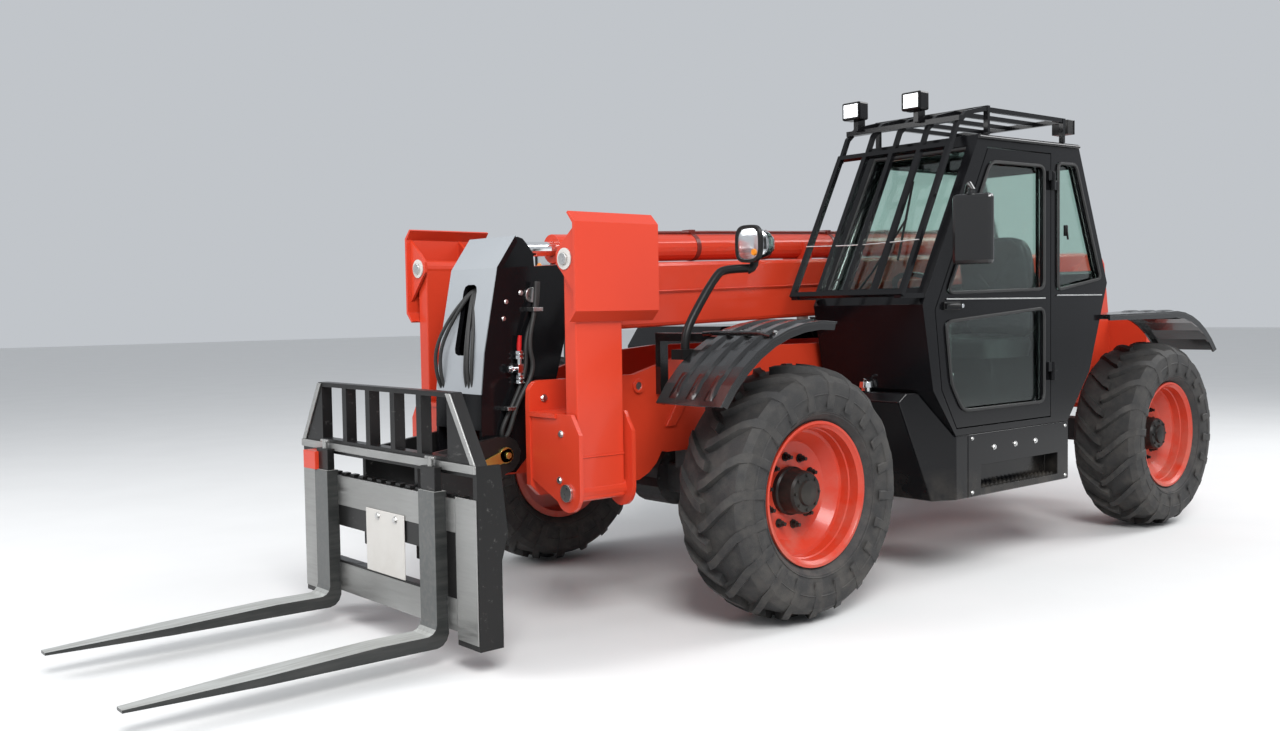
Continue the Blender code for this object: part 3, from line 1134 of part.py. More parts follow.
# ---------------------------------------------------------------- assembly
def main():
    clear_scene()
    orange = material("orange_paint", (0.72, 0.06, 0.02), 0.35)
    black = material("black_paint", (0.012, 0.012, 0.014), 0.30)
    rubber = material("tyre_rubber", (0.030, 0.030, 0.030), 0.85)
    iron = material("axle_iron", (0.03, 0.03, 0.03), 0.55)
    steel = material("fork_steel", (0.30, 0.30, 0.30), 0.45, 0.8)
    chrome = material("chrome", (0.80, 0.80, 0.80), 0.12, 1.0)
    glass = material("tinted_glass", (0.45, 0.62, 0.58), 0.05, 0.0, 0.35)
    trim = material("seat_trim", (0.03, 0.03, 0.035), 0.80)

    chassis = axis_empty("chassis_body", (0, 0, 0))
    make_chassis(chassis, orange)
    make_counterweight(chassis, orange)
    make_engine(chassis, iron, black)
    make_cab(chassis, black)
    make_cab_glass(chassis, glass)
    make_cab_inside(chassis, trim, black)
    make_guard(chassis, black)
    make_side_tank(chassis, black)
    make_step(chassis, black)
    hinge = (FRONT_X + PILLAR_X, HINGE_Y, 1.5)
    make_door(axis_empty("door_body", hinge, chassis), black, glass)

    for end, axle_x in (("front", FRONT_X), ("rear", REAR_X)):
        make_axle(end + "_axle", axle_x, iron, chassis)
        for hand, side in (("left", 1), ("right", -1)):
            place = end + "_" + hand
            swivel = axis_empty("knuckle_" + place + "_body", (axle_x, side * KINGPIN_Y, AXLE_Z), chassis)
            make_knuckle("knuckle_" + place, axle_x, side, swivel, iron)
            wheel = axis_empty("wheel_" + place + "_body", (axle_x, side * WHEEL_Y, AXLE_Z), swivel)
            make_tyre("tyre_" + place, side * WHEEL_Y, axle_x, wheel, rubber)
            make_rim("rim_" + place, side * WHEEL_Y, axle_x, side, wheel, orange)
            make_fender("fender_" + place, axle_x, side, chassis, black)
    for hand, side in (("left", 1), ("right", -1)):
        make_headlamp("headlamp_" + hand, side, chassis, black)
        make_mirror("mirror_" + hand, side, chassis, black)
        leg = axis_empty("leg_" + hand + "_body", (FRONT_X + LEG_REACH, side * LEG_Y, LEG_HINGE_Z), chassis)
        make_leg("stabiliser_leg_" + hand, side, leg, orange)
        foot = axis_empty("foot_" + hand + "_body", (FRONT_X + LEG_REACH, side * LEG_Y, FOOT_PIN_Z), leg)
        make_foot("stabiliser_foot_" + hand, side, foot, orange)

    boom = axis_empty("boom_body", (BOOM_PIVOT_X, 0, BOOM_PIVOT_Z), chassis)
    inner = axis_empty("boom_inner_body", (BOOM_PIVOT_X, 0, BOOM_PIVOT_Z), boom)
    make_boom_outer(boom, orange)
    make_boom_inner(inner, orange)
    make_extension_cylinder(boom, inner, orange, chrome)
    make_head(inner, black)
    carriage = axis_empty("carriage_body", (CARRIAGE_PIVOT[0], 0, CARRIAGE_PIVOT[1]), inner)
    make_carriage(carriage, black)
    make_fork("fork_left", FORK_SPACING / 2, carriage, steel)
    make_fork("fork_right", -FORK_SPACING / 2, carriage, steel)

    base, eye = lift_base(), lift_eye()
    barrel = axis_empty("lift_barrel_body", (base[0], 0, base[1]), chassis)
    rod = axis_empty("lift_rod_body", (eye[0], 0, eye[1]), barrel)
    make_cylinder("lift", base, eye, (LIFT_BARREL_RADIUS, LIFT_ROD_RADIUS, 0.055), EYE_HALF_WIDTH,
                  LIFT_BARREL_SHARE, 0.0, (barrel, rod), (black, chrome))
    base, eye = tilt_base(), tilt_eye()
    barrel = axis_empty("tilt_barrel_body", (base[0], 0, base[1]), inner)
    rod = axis_empty("tilt_rod_body", (eye[0], 0, eye[1]), barrel)
    make_cylinder("tilt", base, eye, (TILT_BARREL_RADIUS, TILT_ROD_RADIUS, 0.042),
                  TILT_EYE_HALF_WIDTH, TILT_BARREL_SHARE, TILT_STROKE_IN, (barrel, rod), (black, chrome))


main()
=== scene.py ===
"""The looks of a telescopic handler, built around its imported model: metres, +X forwards, +Y to the cab side,
+Z up."""

import math

import bmesh
import bpy
import numpy as np
from mathutils import Matrix, Vector


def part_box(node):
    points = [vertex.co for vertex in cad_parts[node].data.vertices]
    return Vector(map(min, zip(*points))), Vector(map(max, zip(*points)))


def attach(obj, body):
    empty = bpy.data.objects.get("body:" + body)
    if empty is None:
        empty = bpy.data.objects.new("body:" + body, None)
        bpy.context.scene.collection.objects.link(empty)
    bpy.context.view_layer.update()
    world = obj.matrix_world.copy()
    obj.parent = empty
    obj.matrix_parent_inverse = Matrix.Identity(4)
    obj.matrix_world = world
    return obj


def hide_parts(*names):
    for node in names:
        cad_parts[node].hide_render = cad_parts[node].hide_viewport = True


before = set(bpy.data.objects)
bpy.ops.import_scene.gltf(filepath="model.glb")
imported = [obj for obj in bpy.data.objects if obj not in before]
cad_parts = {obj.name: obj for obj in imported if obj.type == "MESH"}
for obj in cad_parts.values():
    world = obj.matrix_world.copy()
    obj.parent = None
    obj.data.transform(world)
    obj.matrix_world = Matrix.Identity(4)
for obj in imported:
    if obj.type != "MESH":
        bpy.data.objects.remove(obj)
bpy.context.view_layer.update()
scene = bpy.context.scene


# ---------------------------------------------------------------- yard
# The machine stands on a pale concrete floor under a soft studio sky.
# The floor is one wide sheet; three large soft lights stand round it.
def new_material(name):
    """A material with its node tree, emptied, and one Principled shader linked to the output."""
    material = bpy.data.materials.new(name)
    material.use_nodes = True
    tree = material.node_tree
    tree.nodes.clear()
    output = tree.nodes.new("ShaderNodeOutputMaterial")
    shader = tree.nodes.new("ShaderNodeBsdfPrincipled")
    tree.links.new(shader.outputs["BSDF"], output.inputs["Surface"])
    return material, tree, shader


def set_inputs(node, **inputs):
    """Each keyword sets the node's input of that name, with _ for a space."""
    for key, value in inputs.items():
        node.inputs[key.replace("_", " ")].default_value = value


def add_node(tree, kind, **inputs):
    """A node of this kind, with its inputs set by name."""
    made = tree.nodes.new("ShaderNode" + kind)
    set_inputs(made, **inputs)
    return made


def noise_at(tree, scale, detail=3.0, roughness=0.55, stretch=(1, 1, 1)):
    """A noise in object space, stretched along an axis where its factor is below one."""
    place = tree.nodes.new("ShaderNodeTexCoord")
    turn = tree.nodes.new("ShaderNodeMapping")
    turn.inputs["Scale"].default_value = stretch
    noise = add_node(tree, "TexNoise", Scale=scale, Detail=detail, Roughness=roughness)
    tree.links.new(place.outputs["Object"], turn.inputs["Vector"])
    tree.links.new(turn.outputs["Vector"], noise.inputs["Vector"])
    return noise.outputs["Fac"]


def ramp(tree, value, low, high, to_low=0.0, to_high=1.0):
    """value carried from low..high onto to_low..to_high, and held at the ends."""
    mapped = add_node(tree, "MapRange", From_Min=low, From_Max=high, To_Min=to_low, To_Max=to_high)
    tree.links.new(value, mapped.inputs["Value"])
    return mapped.outputs["Result"]


def blended(tree, factor, one, other):
    """A colour between two colours or sockets."""
    mix = tree.nodes.new("ShaderNodeMix")
    mix.data_type = "RGBA"
    tree.links.new(factor, mix.inputs["Factor"])
    for socket, colour in (("A", one), ("B", other)):
        target = [i for i in mix.inputs if i.name == socket and i.type == "RGBA"][0]
        if isinstance(colour, tuple):
            target.default_value = (*colour, 1.0)
        else:
            tree.links.new(colour, target)
    return [o for o in mix.outputs if o.type == "RGBA"][0]


def bumped(tree, shader, height, strength, distance=0.002):
    """A height, as a bump on the shader's normal."""
    bump = add_node(tree, "Bump", Strength=strength, Distance=distance)
    tree.links.new(height, bump.inputs["Height"])
    tree.links.new(bump.outputs["Normal"], shader.inputs["Normal"])


def add_mesh(name, points, faces, finish):
    """An object at the origin from world points and faces, in one finish."""
    mesh = bpy.data.meshes.new(name)
    mesh.from_pydata(np.asarray(points).tolist(), [], faces)
    mesh.materials.append(finish)
    obj = bpy.data.objects.new(name, mesh)
    scene.collection.objects.link(obj)
    return obj


concrete, tree, shader = new_material("pale_concrete")
mottle = noise_at(tree, 1.5, 6.0)
tree.links.new(blended(tree, mottle, (0.74, 0.74, 0.735), (0.80, 0.80, 0.795)), shader.inputs["Base Color"])
set_inputs(shader, Roughness=0.85)
bumped(tree, shader, noise_at(tree, 40.0, 5.0), 0.15)
FLOOR_REACH = 60.0
corners = FLOOR_REACH * np.array([(-1, -1, 0), (1, -1, 0), (1, 1, 0), (-1, 1, 0)])
floor = add_mesh("floor", corners, [(0, 1, 2, 3)], concrete)

scene.view_settings.view_transform = "Standard"
sky = bpy.data.worlds.new("studio_sky")
scene.world = sky
sky.use_nodes = True
sky.node_tree.nodes["Background"].inputs["Color"].default_value = (0.86, 0.90, 0.95, 1.0)
sky.node_tree.nodes["Background"].inputs["Strength"].default_value = 0.62
for name, place, size, power in (
    ("key_light", (6.0, 8.0, 8.5), 4.5, 1250.0),
    ("fill_light", (9.0, -4.0, 6.0), 5.0, 450.0),
    ("back_light", (-8.0, 4.0, 7.0), 5.0, 550.0),
):
    light = bpy.data.lights.new(name, "AREA")
    light.size = size
    light.energy = power
    lamp = bpy.data.objects.new(name, light)
    scene.collection.objects.link(lamp)
    lamp.location = place
    lamp.rotation_euler = (-Vector(place) + Vector((0, 0, 1))).to_track_quat("-Z", "Y").to_euler()

CAMERA_PLACE = Vector((4.770, 4.633, 1.427))
CAMERA_YAW, CAMERA_PITCH, CAMERA_ROLL = (math.radians(a) for a in (229.2, -2.69, -0.88))
camera_data = bpy.data.cameras.new("camera")
camera_data.lens = 33.64
camera_data.sensor_width = 36.0
camera = bpy.data.objects.new("camera", camera_data)
scene.collection.objects.link(camera)
look = Vector((math.cos(CAMERA_PITCH) * math.cos(CAMERA_YAW), math.cos(CAMERA_PITCH) * math.sin(CAMERA_YAW),
               math.sin(CAMERA_PITCH)))
turned = look.to_track_quat("-Z", "Y").to_matrix().to_4x4() @ Matrix.Rotation(CAMERA_ROLL, 4, "Z")
camera.matrix_world = Matrix.Translation(CAMERA_PLACE) @ turned
scene.camera = camera


# ---------------------------------------------------------------- chassis
# Two tall welded side plates carry the boom's tower at the back and the stabiliser brackets at the nose.
# They are thick steel plate in orange paint, with rolled edges and a film of dust low down.
def group_sockets(group, inputs, outputs):
    """A node group's number sockets, with the nodes that read and write them."""
    for name, value in inputs.items():
        socket = group.interface.new_socket(name, in_out="INPUT", socket_type="NodeSocketFloat")
        socket.default_value = value
    for name in outputs:
        group.interface.new_socket(name, in_out="OUTPUT", socket_type="NodeSocketFloat")
    return group.nodes.new("NodeGroupInput"), group.nodes.new("NodeGroupOutput")


def make_weather_group():
    """Dust: a noise that thins out from the ground up to a height. Fade: slow patches over the whole
    surface."""
    group = bpy.data.node_groups.new("weather", "ShaderNodeTree")
    given, made = group_sockets(group, {"Dust Top": 1.0, "Scale": 6.0}, ("Dust", "Fade", "Peel"))
    place = group.nodes.new("ShaderNodeTexCoord")
    split = group.nodes.new("ShaderNodeSeparateXYZ")
    group.links.new(place.outputs["Object"], split.inputs["Vector"])
    low = add_node(group, "MapRange", From_Min=0.0, To_Min=1.0, To_Max=0.0)
    group.links.new(split.outputs["Z"], low.inputs["Value"])
    group.links.new(given.outputs["Dust Top"], low.inputs["From Max"])
    patches = add_node(group, "TexNoise", Detail=7.0, Roughness=0.65)
    group.links.new(place.outputs["Object"], patches.inputs["Vector"])
    group.links.new(given.outputs["Scale"], patches.inputs["Scale"])
    speckle = ramp(group, patches.outputs["Fac"], 0.42, 0.72)
    dust = group.nodes.new("ShaderNodeMath")
    dust.operation = "MULTIPLY"
    group.links.new(low.outputs["Result"], dust.inputs[0])
    group.links.new(speckle, dust.inputs[1])
    group.links.new(dust.outputs[0], made.inputs["Dust"])
    group.links.new(noise_at(group, 1.3, 2.0), made.inputs["Fade"])
    group.links.new(noise_at(group, 320.0, 1.0), made.inputs["Peel"])
    return group


weather = make_weather_group()


def weathered(tree, dust_top, scale):
    """The outputs of the weather group, placed in a material with its own values."""
    use = tree.nodes.new("ShaderNodeGroup")
    use.node_tree = weather
    use.inputs["Dust Top"].default_value = dust_top
    use.inputs["Scale"].default_value = scale
    return use.outputs


DUST = (0.30, 0.26, 0.21)


def paint(name, colour, worn, roughness, coat, dust_top, peel, shine=0.35):
    """Sprayed paint: two close tones, dust near the ground, a slight orange peel and a clear coat."""
    material, tree, shader = new_material(name)
    film = weathered(tree, dust_top, 5.0)
    toned = blended(tree, film["Fade"], colour, worn)
    soft = ramp(tree, film["Dust"], 0.0, 1.0, 0.0, 0.55)
    tree.links.new(blended(tree, soft, toned, DUST), shader.inputs["Base Color"])
    tree.links.new(ramp(tree, film["Dust"], 0.0, 1.0, roughness, 0.75), shader.inputs["Roughness"])
    set_inputs(shader, Coat_Weight=coat, Coat_Roughness=0.08, Specular_IOR_Level=shine)
    bumped(tree, shader, film["Peel"], peel, 0.0006)
    return material


orange = paint("orange_paint", (0.62, 0.050, 0.019), (0.52, 0.038, 0.015), 0.30, 0.25, 0.6, 0.25)
black = paint("gloss_black_paint", (0.004, 0.004, 0.0045), (0.007, 0.007, 0.008), 0.14, 0.0, 0.6, 0.10, 0.22)
satin_black = paint("satin_black_paint", (0.006, 0.006, 0.0065), (0.012, 0.0115, 0.011), 0.36, 0.0, 0.7, 0.35,
                    0.22)


def roll_edges(obj, width, smooth):
    """A two-step bevel on each edge that is sharper than smooth degrees."""
    rolled = obj.modifiers.new("rolled", "BEVEL")
    rolled.width = width
    rolled.segments = 2
    rolled.limit_method = "ANGLE"
    rolled.angle_limit = math.radians(smooth)
    rolled.harden_normals = True


def dress(node, finish, edge=0.003, smooth=32):
    """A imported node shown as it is: its finish, and rolled edges from a weld and a bevel."""
    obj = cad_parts[node]
    obj.data.materials.clear()
    obj.data.materials.append(finish)
    if edge:
        weld = obj.modifiers.new("weld", "WELD")
        weld.merge_threshold = 0.0002
        roll_edges(obj, edge, smooth)
    return obj


for node in ("chassis_frame", "counterweight"):
    dress(node, orange, 0.005)


def surface(rows, around=False, along=False):
    """Four-sided faces over a grid of points: rows by columns, closed round the columns or the rows."""
    rows = np.asarray(rows, float)
    count, wide = rows.shape[:2]
    i, j = np.meshgrid(np.arange(count if along else count - 1), np.arange(wide if around else wide - 1),
                       indexing="ij")
    over, across = (i + 1) % count, (j + 1) % wide
    faces = np.stack([i * wide + j, i * wide + across, over * wide + across, over * wide + j], -1)
    return rows.reshape(-1, 3), faces.reshape(-1, 4).tolist()


def capped(rows):
    """A tube of rings, closed round and at both ends by one flat face each."""
    rows = np.asarray(rows, float)
    points, faces = surface(rows, around=True)
    wide = rows.shape[1]
    return points, faces + [list(range(wide))[::-1], list(range(len(points) - wide, len(points)))]


def panel(outline, low, high, plane="XZ"):
    """A flat outline carried from low to high across its plane."""
    flat = np.asarray(outline, float)
    ends = []
    for level in (low, high):
        level = np.full(len(flat), level)
        columns = {"XZ": (flat[:, 0], level, flat[:, 1]), "YZ": (level, flat[:, 0], flat[:, 1]),
                   "XY": (flat[:, 0], flat[:, 1], level)}[plane]
        ends.append(np.stack(columns, -1))
    return capped(ends)


def slab(low, high):
    """A box between two corners."""
    (x0, y0, z0), (x1, y1, z1) = low, high
    return panel([(x0, y0), (x1, y0), (x1, y1), (x0, y1)], z0, z1, "XY")


def circle(centre, radius, start=0.0, end=360.0, count=24):
    """Points on a circle from one angle to another, in degrees; a full turn leaves out its last point."""
    angles = np.radians(np.linspace(start, end, count, endpoint=(end - start) % 360 != 0))
    return np.stack([centre[0] + radius * np.cos(angles), centre[1] + radius * np.sin(angles)], -1)


def tube(path, radius, sides=12, rounds=0):
    """A circle carried along a path; rounds smooths the path's corners by cutting them that many times."""
    path = np.asarray(path, float)
    for _ in range(rounds):
        ends = np.stack([path[:-1] * 0.75 + path[1:] * 0.25, path[:-1] * 0.25 + path[1:] * 0.75], 1)
        path = np.concatenate([path[:1], ends.reshape(-1, 3)[1:-1], path[-1:]])
    ahead = np.gradient(path, axis=0)
    ahead /= np.linalg.norm(ahead, axis=1)[:, None]
    side = np.cross(ahead[0], (0, 0, 1) if abs(ahead[0][2]) < 0.9 else (0, 1, 0))
    rings = []
    turn = np.linspace(0, 2 * math.pi, sides, endpoint=False)[:, None]
    radii = np.interp(np.linspace(0, 1, len(path)), np.linspace(0, 1, np.size(radius)), np.atleast_1d(radius))
    for here, forward, size in zip(path, ahead, radii):
        side = side - forward * side.dot(forward)
        side = side / np.linalg.norm(side)
        rings.append(here + size * (np.cos(turn) * side + np.sin(turn) * np.cross(forward, side)))
    return capped(rings)


def lathe(profile, centre, axis="Y", steps=48):
    """A closed profile of (along, radius) points turned once round an axis through centre."""
    along, radius = np.asarray(profile, float).T
    turn = np.linspace(0, 2 * math.pi, steps, endpoint=False)[:, None]
    reach = np.broadcast_to(along, (steps, len(along)))
    one, two = np.cos(turn) * radius, np.sin(turn) * radius
    columns = {"X": (reach, one, two), "Y": (two, reach, one), "Z": (one, two, reach)}[axis]
    return surface(np.stack(columns, -1) + np.asarray(centre, float), around=True, along=True)


def bolt(centre, axis, radius, height):
    """A six-sided head on a round washer, standing out along a direction."""
    centre, axis = np.asarray(centre, float), np.asarray(axis, float)
    washer = tube([centre - axis * 0.002, centre + axis * height * 0.25], radius * 1.35, 16)
    return [washer, tube([centre, centre + axis * height], radius, 6)]


def piece(name, shapes, finish, body, stands_for=(), edge=0.0, smooth=32):
    """Shapes joined in one object on a body: smooth up to an angle, with rolled edges where edge is set."""
    points = np.concatenate([shape[0] for shape in shapes])
    starts = np.cumsum([0] + [len(shape[0]) for shape in shapes])
    faces = [[start + i for i in face] for start, shape in zip(starts, shapes) for face in shape[1]]
    obj = add_mesh(name, points, faces, finish)
    mesh = obj.data
    mesh.polygons.foreach_set("use_smooth", np.ones(len(mesh.polygons), bool))
    fix = bmesh.new()
    fix.from_mesh(mesh)
    bmesh.ops.recalc_face_normals(fix, faces=fix.faces)
    fix.to_mesh(mesh)
    fix.free()
    mesh.set_sharp_from_angle(angle=math.radians(smooth))
    if edge:
        roll_edges(obj, edge, smooth)
    if stands_for:
        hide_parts(*stands_for)
    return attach(obj, body)


def metal(name, colour, roughness, streaks=0.0, stretch=(1, 1, 1), grime=(0.05, 0.04, 0.035)):
    """Bare metal: streaks of grain along the stretched axis, and grime in slow patches."""
    material, tree, shader = new_material(name)
    film = weathered(tree, 1.2, 9.0)
    mask = ramp(tree, film["Fade"], 0.45, 0.75, 0.0, 0.35 if streaks else 0.08)
    tree.links.new(blended(tree, mask, colour, grime), shader.inputs["Base Color"])
    set_inputs(shader, Metallic=1.0)
    grain = noise_at(tree, 60.0, 4.0, 0.6, stretch)
    tree.links.new(ramp(tree, grain, 0.3, 0.7, roughness, roughness + 0.2 * streaks + 0.04),
                   shader.inputs["Roughness"])
    bumped(tree, shader, grain, 0.05 + 0.2 * streaks, 0.0008)
    return material


chrome = metal("chrome_plate", (0.86, 0.87, 0.88), 0.06)
zinc = metal("yellow_zinc", (0.58, 0.50, 0.13), 0.28, 0.3)
bright = metal("bright_zinc", (0.66, 0.66, 0.65), 0.25, 0.3)
FRONT_X, WHEEL_Y = (sum(c[0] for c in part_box("rim_front_left")) / 2,
                    sum(c[1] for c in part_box("tyre_front_left")) / 2)
REAR_X = sum(c[0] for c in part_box("rim_rear_left")) / 2
AXLE_Z = sum(c[2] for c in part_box("rim_front_left")) / 2
PLATE_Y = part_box("side_tank")[0][1]      # the tank stands against the frame's side plate
NOSE_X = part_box("chassis_frame")[1][0]

# On each side plate the nose carries a pivot hole with its retained pin, a latch and two bolted clamps.
plate_fittings, plate_bolts = [], []
for side in (1, -1):
    outer = side * PLATE_Y
    for x, z, radius in ((NOSE_X - 0.63, 1.065, 0.034), (NOSE_X - 0.14, 0.80, 0.045),
                         (REAR_X + 0.62, 1.10, 0.04)):
        ring = [(0.0, radius), (0.012, radius), (0.012, radius * 0.55), (0.0, radius * 0.55)]
        plate_fittings.append(lathe([(side * a, r) for a, r in ring], (x, outer, z)))
        plate_bolts.append(tube([(x, outer, z), (x, outer + side * 0.006, z)], radius * 0.56, 20))
    for x, z in ((NOSE_X - 0.50, 0.98), (NOSE_X - 0.50, 0.90), (NOSE_X - 0.08, 1.04), (NOSE_X - 0.30, 1.06),
                 (REAR_X + 1.10, 1.14), (REAR_X + 1.22, 1.14), (REAR_X + 0.30, 1.16)):
        plate_bolts += bolt((x, outer, z), (0, side, 0), 0.013, 0.011)
    plate_fittings.append(panel([(NOSE_X - 1.02, 1.08), (NOSE_X - 0.86, 0.86), (NOSE_X - 0.80, 0.86),
                                 (NOSE_X - 0.96, 1.10)], outer, outer + side * 0.012))
piece("frame_fittings", plate_fittings, orange, "chassis", edge=0.002)
piece("frame_bolts", plate_bolts, bright, "chassis")
tail_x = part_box("counterweight")[0][0]
towing = [slab((tail_x - 0.004, -0.09, 0.80), (tail_x + 0.02, -0.055, 0.98)),
          slab((tail_x - 0.004, 0.055, 0.80), (tail_x + 0.02, 0.09, 0.98))]
piece("tow_ribs", towing, satin_black, "chassis", edge=0.003)


# ---------------------------------------------------------------- axles and knuckles
# Each axle is one rough casting bolted under the frame, with a round drive housing and a yoke at each end.
# The swivel housings turn between the yoke arms on pins held by four-bolt caps.
iron = metal("painted_casting", (0.030, 0.030, 0.031), 0.55, 0.5)
iron.node_tree.nodes["Principled BSDF"].inputs["Metallic"].default_value = 0.15
for node in ("front_axle", "rear_axle", "engine_block"):
    dress(node, iron, 0.006)
KINGPIN_Y = WHEEL_Y - 0.154
for end, axle_x in (("front", FRONT_X), ("rear", REAR_X)):
    caps = []
    for side in (1, -1):
        for z, up in ((AXLE_Z + 0.165, 1), (AXLE_Z - 0.165, -1)):
            pin = (axle_x, side * (KINGPIN_Y - 0.005), z)
            caps.append(tube([pin, (pin[0], pin[1], z + up * 0.014)], 0.040, 20))
            for x, y in circle(pin[:2], 0.027, 45, 405, 4):
                caps += bolt((x, y, z + up * 0.014), (0, 0, up), 0.006, 0.006)
    for x, z in circle((axle_x, AXLE_Z), 0.132, count=12):
        caps += bolt((x, 0.190, z), (0, 1, 0), 0.008, 0.008)
    piece(end + "_kingpin_caps", caps, iron, "chassis")
    for hand in ("left", "right"):
        dress("knuckle_%s_%s" % (end, hand), iron, 0.004)


# ---------------------------------------------------------------- wheels
# Big tractor-pattern tyres with bars set in a chevron, on deep-dished rims in the frame's orange.
# The bars are moulded with the carcass; the black hub drum carries ten nuts on studs.
rubber, tree, shader = new_material("tyre_rubber")
film = weathered(tree, 2.2, 11.0)
scuffed = ramp(tree, film["Dust"], 0.0, 0.8, 0.0, 0.45)
toned = blended(tree, film["Fade"], (0.016, 0.016, 0.017), (0.030, 0.029, 0.028))
tree.links.new(blended(tree, scuffed, toned, (0.10, 0.090, 0.078)), shader.inputs["Base Color"])
tree.links.new(ramp(tree, film["Peel"], 0.3, 0.7, 0.62, 0.82), shader.inputs["Roughness"])
bumped(tree, shader, noise_at(tree, 90.0, 6.0), 0.3, 0.001)

TYRE_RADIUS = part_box("tyre_front_left")[1][2] - AXLE_Z
BAR_HEIGHT = 0.034
BARS = 20                     # on each half of the tread
CARCASS = [(-0.1475, 0.314), (-0.151, 0.334), (-0.185, 0.362), (-0.203, 0.420), (-0.206, 0.468),
           (-0.196, 0.510), (-0.168, 0.536), (-0.100, 0.548), (0.0, 0.5505)]


def carcass_radius(across):
    """The crown's radius at a distance from the middle of the tread: flat, then turned down at the
    shoulder."""
    return 0.5505 - 0.9 * across ** 2 - 0.045 * np.clip((across - 0.135) / 0.065, 0, 1) ** 2


def tread_bar(centre, side, start):
    """One bar: a wedge section swept outwards over the crown and down the shoulder while it turns round the
    axle."""
    reach = np.concatenate([np.linspace(-0.012, 0.170, 6), [0.192, 0.203, 0.206]])
    drop = np.concatenate([np.zeros(6), [0.008, 0.038, 0.075]])
    turn = start + 1.75 * np.clip(reach, 0, 0.19) ** 1.08 - 0.02
    base = carcass_radius(np.abs(reach)) - drop - 0.004
    height = np.concatenate([np.full(6, BAR_HEIGHT), [0.030, 0.018, 0.006]])
    top = np.minimum(base + 0.004 + height, TYRE_RADIUS - 0.0005)
    half = np.linspace(0.026, 0.033, len(reach))
    rings = []
    for offset, radius in ((-1.0, base), (-0.72, top), (0.72, top), (1.0, base)):
        angle = turn + offset * half / 0.56
        out = reach + (0.010 if radius is top else 0.0) * (drop > 0)
        rings.append(np.stack([centre[0] + radius * np.cos(angle), centre[1] + side * np.minimum(out, 0.2095),
                               centre[2] + radius * np.sin(angle)], -1))
    return capped(np.stack(rings, 1))


def make_tyre(place, centre, body):
    """A lathed carcass, its bars set half a pitch apart on the two sides, and two raised rings on each
    wall."""
    half = list(CARCASS) + [(-a, r) for a, r in reversed(CARCASS[:-1])]
    inside = [(0.140, 0.316), (0.0, 0.316), (-0.140, 0.316)]
    shapes = [lathe(half + inside, centre, steps=96)]
    for side in (1, -1):
        for count in range(BARS):
            start = 2 * math.pi * (count + (0.5 if side > 0 else 0.0)) / BARS
            shapes.append(tread_bar(centre, side, start))
        for radius in (0.372, 0.452):
            ring = [(0.0, radius - 0.004), (0.004, radius), (0.0, radius + 0.004), (-0.006, radius)]
            wall = np.interp(radius, [0.362, 0.420, 0.468], [0.185, 0.203, 0.206])
            shapes.append(lathe([(side * (wall + a), r) for a, r in ring], centre, steps=72))
    piece("tyre_" + place + "_tread", shapes, rubber, body, ("tyre_" + place,), smooth=28)


rim_orange = paint("rim_orange", (0.60, 0.046, 0.018), (0.49, 0.036, 0.015), 0.34, 0.15, 1.0, 0.25)
RIM_PROFILE = [
    (0.165, 0.330), (0.152, 0.331), (0.148, 0.313), (0.100, 0.3115), (-0.148, 0.3115), (-0.152, 0.330),
    (-0.165, 0.330), (-0.165, 0.297), (-0.060, 0.285), (-0.058, 0.110), (-0.012, 0.110), (-0.006, 0.205),
    (0.004, 0.228), (0.030, 0.250), (0.058, 0.272), (0.062, 0.286), (0.100, 0.292), (0.104, 0.298),
    (0.150, 0.301), (0.158, 0.312), (0.165, 0.318),
]
HUB_PROFILE = [(-0.0595, 0.0), (-0.0595, 0.108), (0.012, 0.112), (0.020, 0.104), (0.088, 0.098),
               (0.100, 0.090),
               (0.104, 0.060), (0.116, 0.056), (0.122, 0.040), (0.124, 0.0)]


def make_rim(place, centre, side, body):
    """The rim and its hub drum are lathed; nuts and studs stand in a ring on the disc."""
    x, y, z = centre
    piece("rim_" + place + "_dish", [lathe([(side * a, r) for a, r in RIM_PROFILE], centre, steps=80)],
          rim_orange, body, ("rim_" + place,), smooth=24)
    piece("hub_" + place, [lathe([(side * a, r) for a, r in HUB_PROFILE], centre, steps=48)],
          satin_black, body, smooth=24)
    nuts = []
    for dx, dz in circle((0, 0), 0.160, 9, 369, 10):
        nuts += bolt((x + dx, y - side * 0.010, z + dz), (0, side, 0), 0.0155, 0.026)
        nuts.append(tube([(x + dx, y, z + dz), (x + dx, y + side * 0.034, z + dz)], 0.009, 10))
    for dx, dz in circle((0, 0), 0.078, count=8):
        nuts += bolt((x + dx, y + side * 0.100, z + dz), (0, side, 0), 0.007, 0.008)
    piece("wheel_nuts_" + place, nuts, satin_black, body)
    valve = [(x + 0.262, y + side * 0.052, z), (x + 0.255, y + side * 0.085, z)]
    piece("valve_" + place, [tube(valve, 0.005, 8)], zinc, body)


for end, axle_x in (("front", FRONT_X), ("rear", REAR_X)):
    for hand, side in (("left", 1), ("right", -1)):
        place = end + "_" + hand
        centre = (axle_x, side * WHEEL_Y, AXLE_Z)
        make_tyre(place, centre, "wheel_" + place)
        make_rim(place, centre, side, "wheel_" + place)


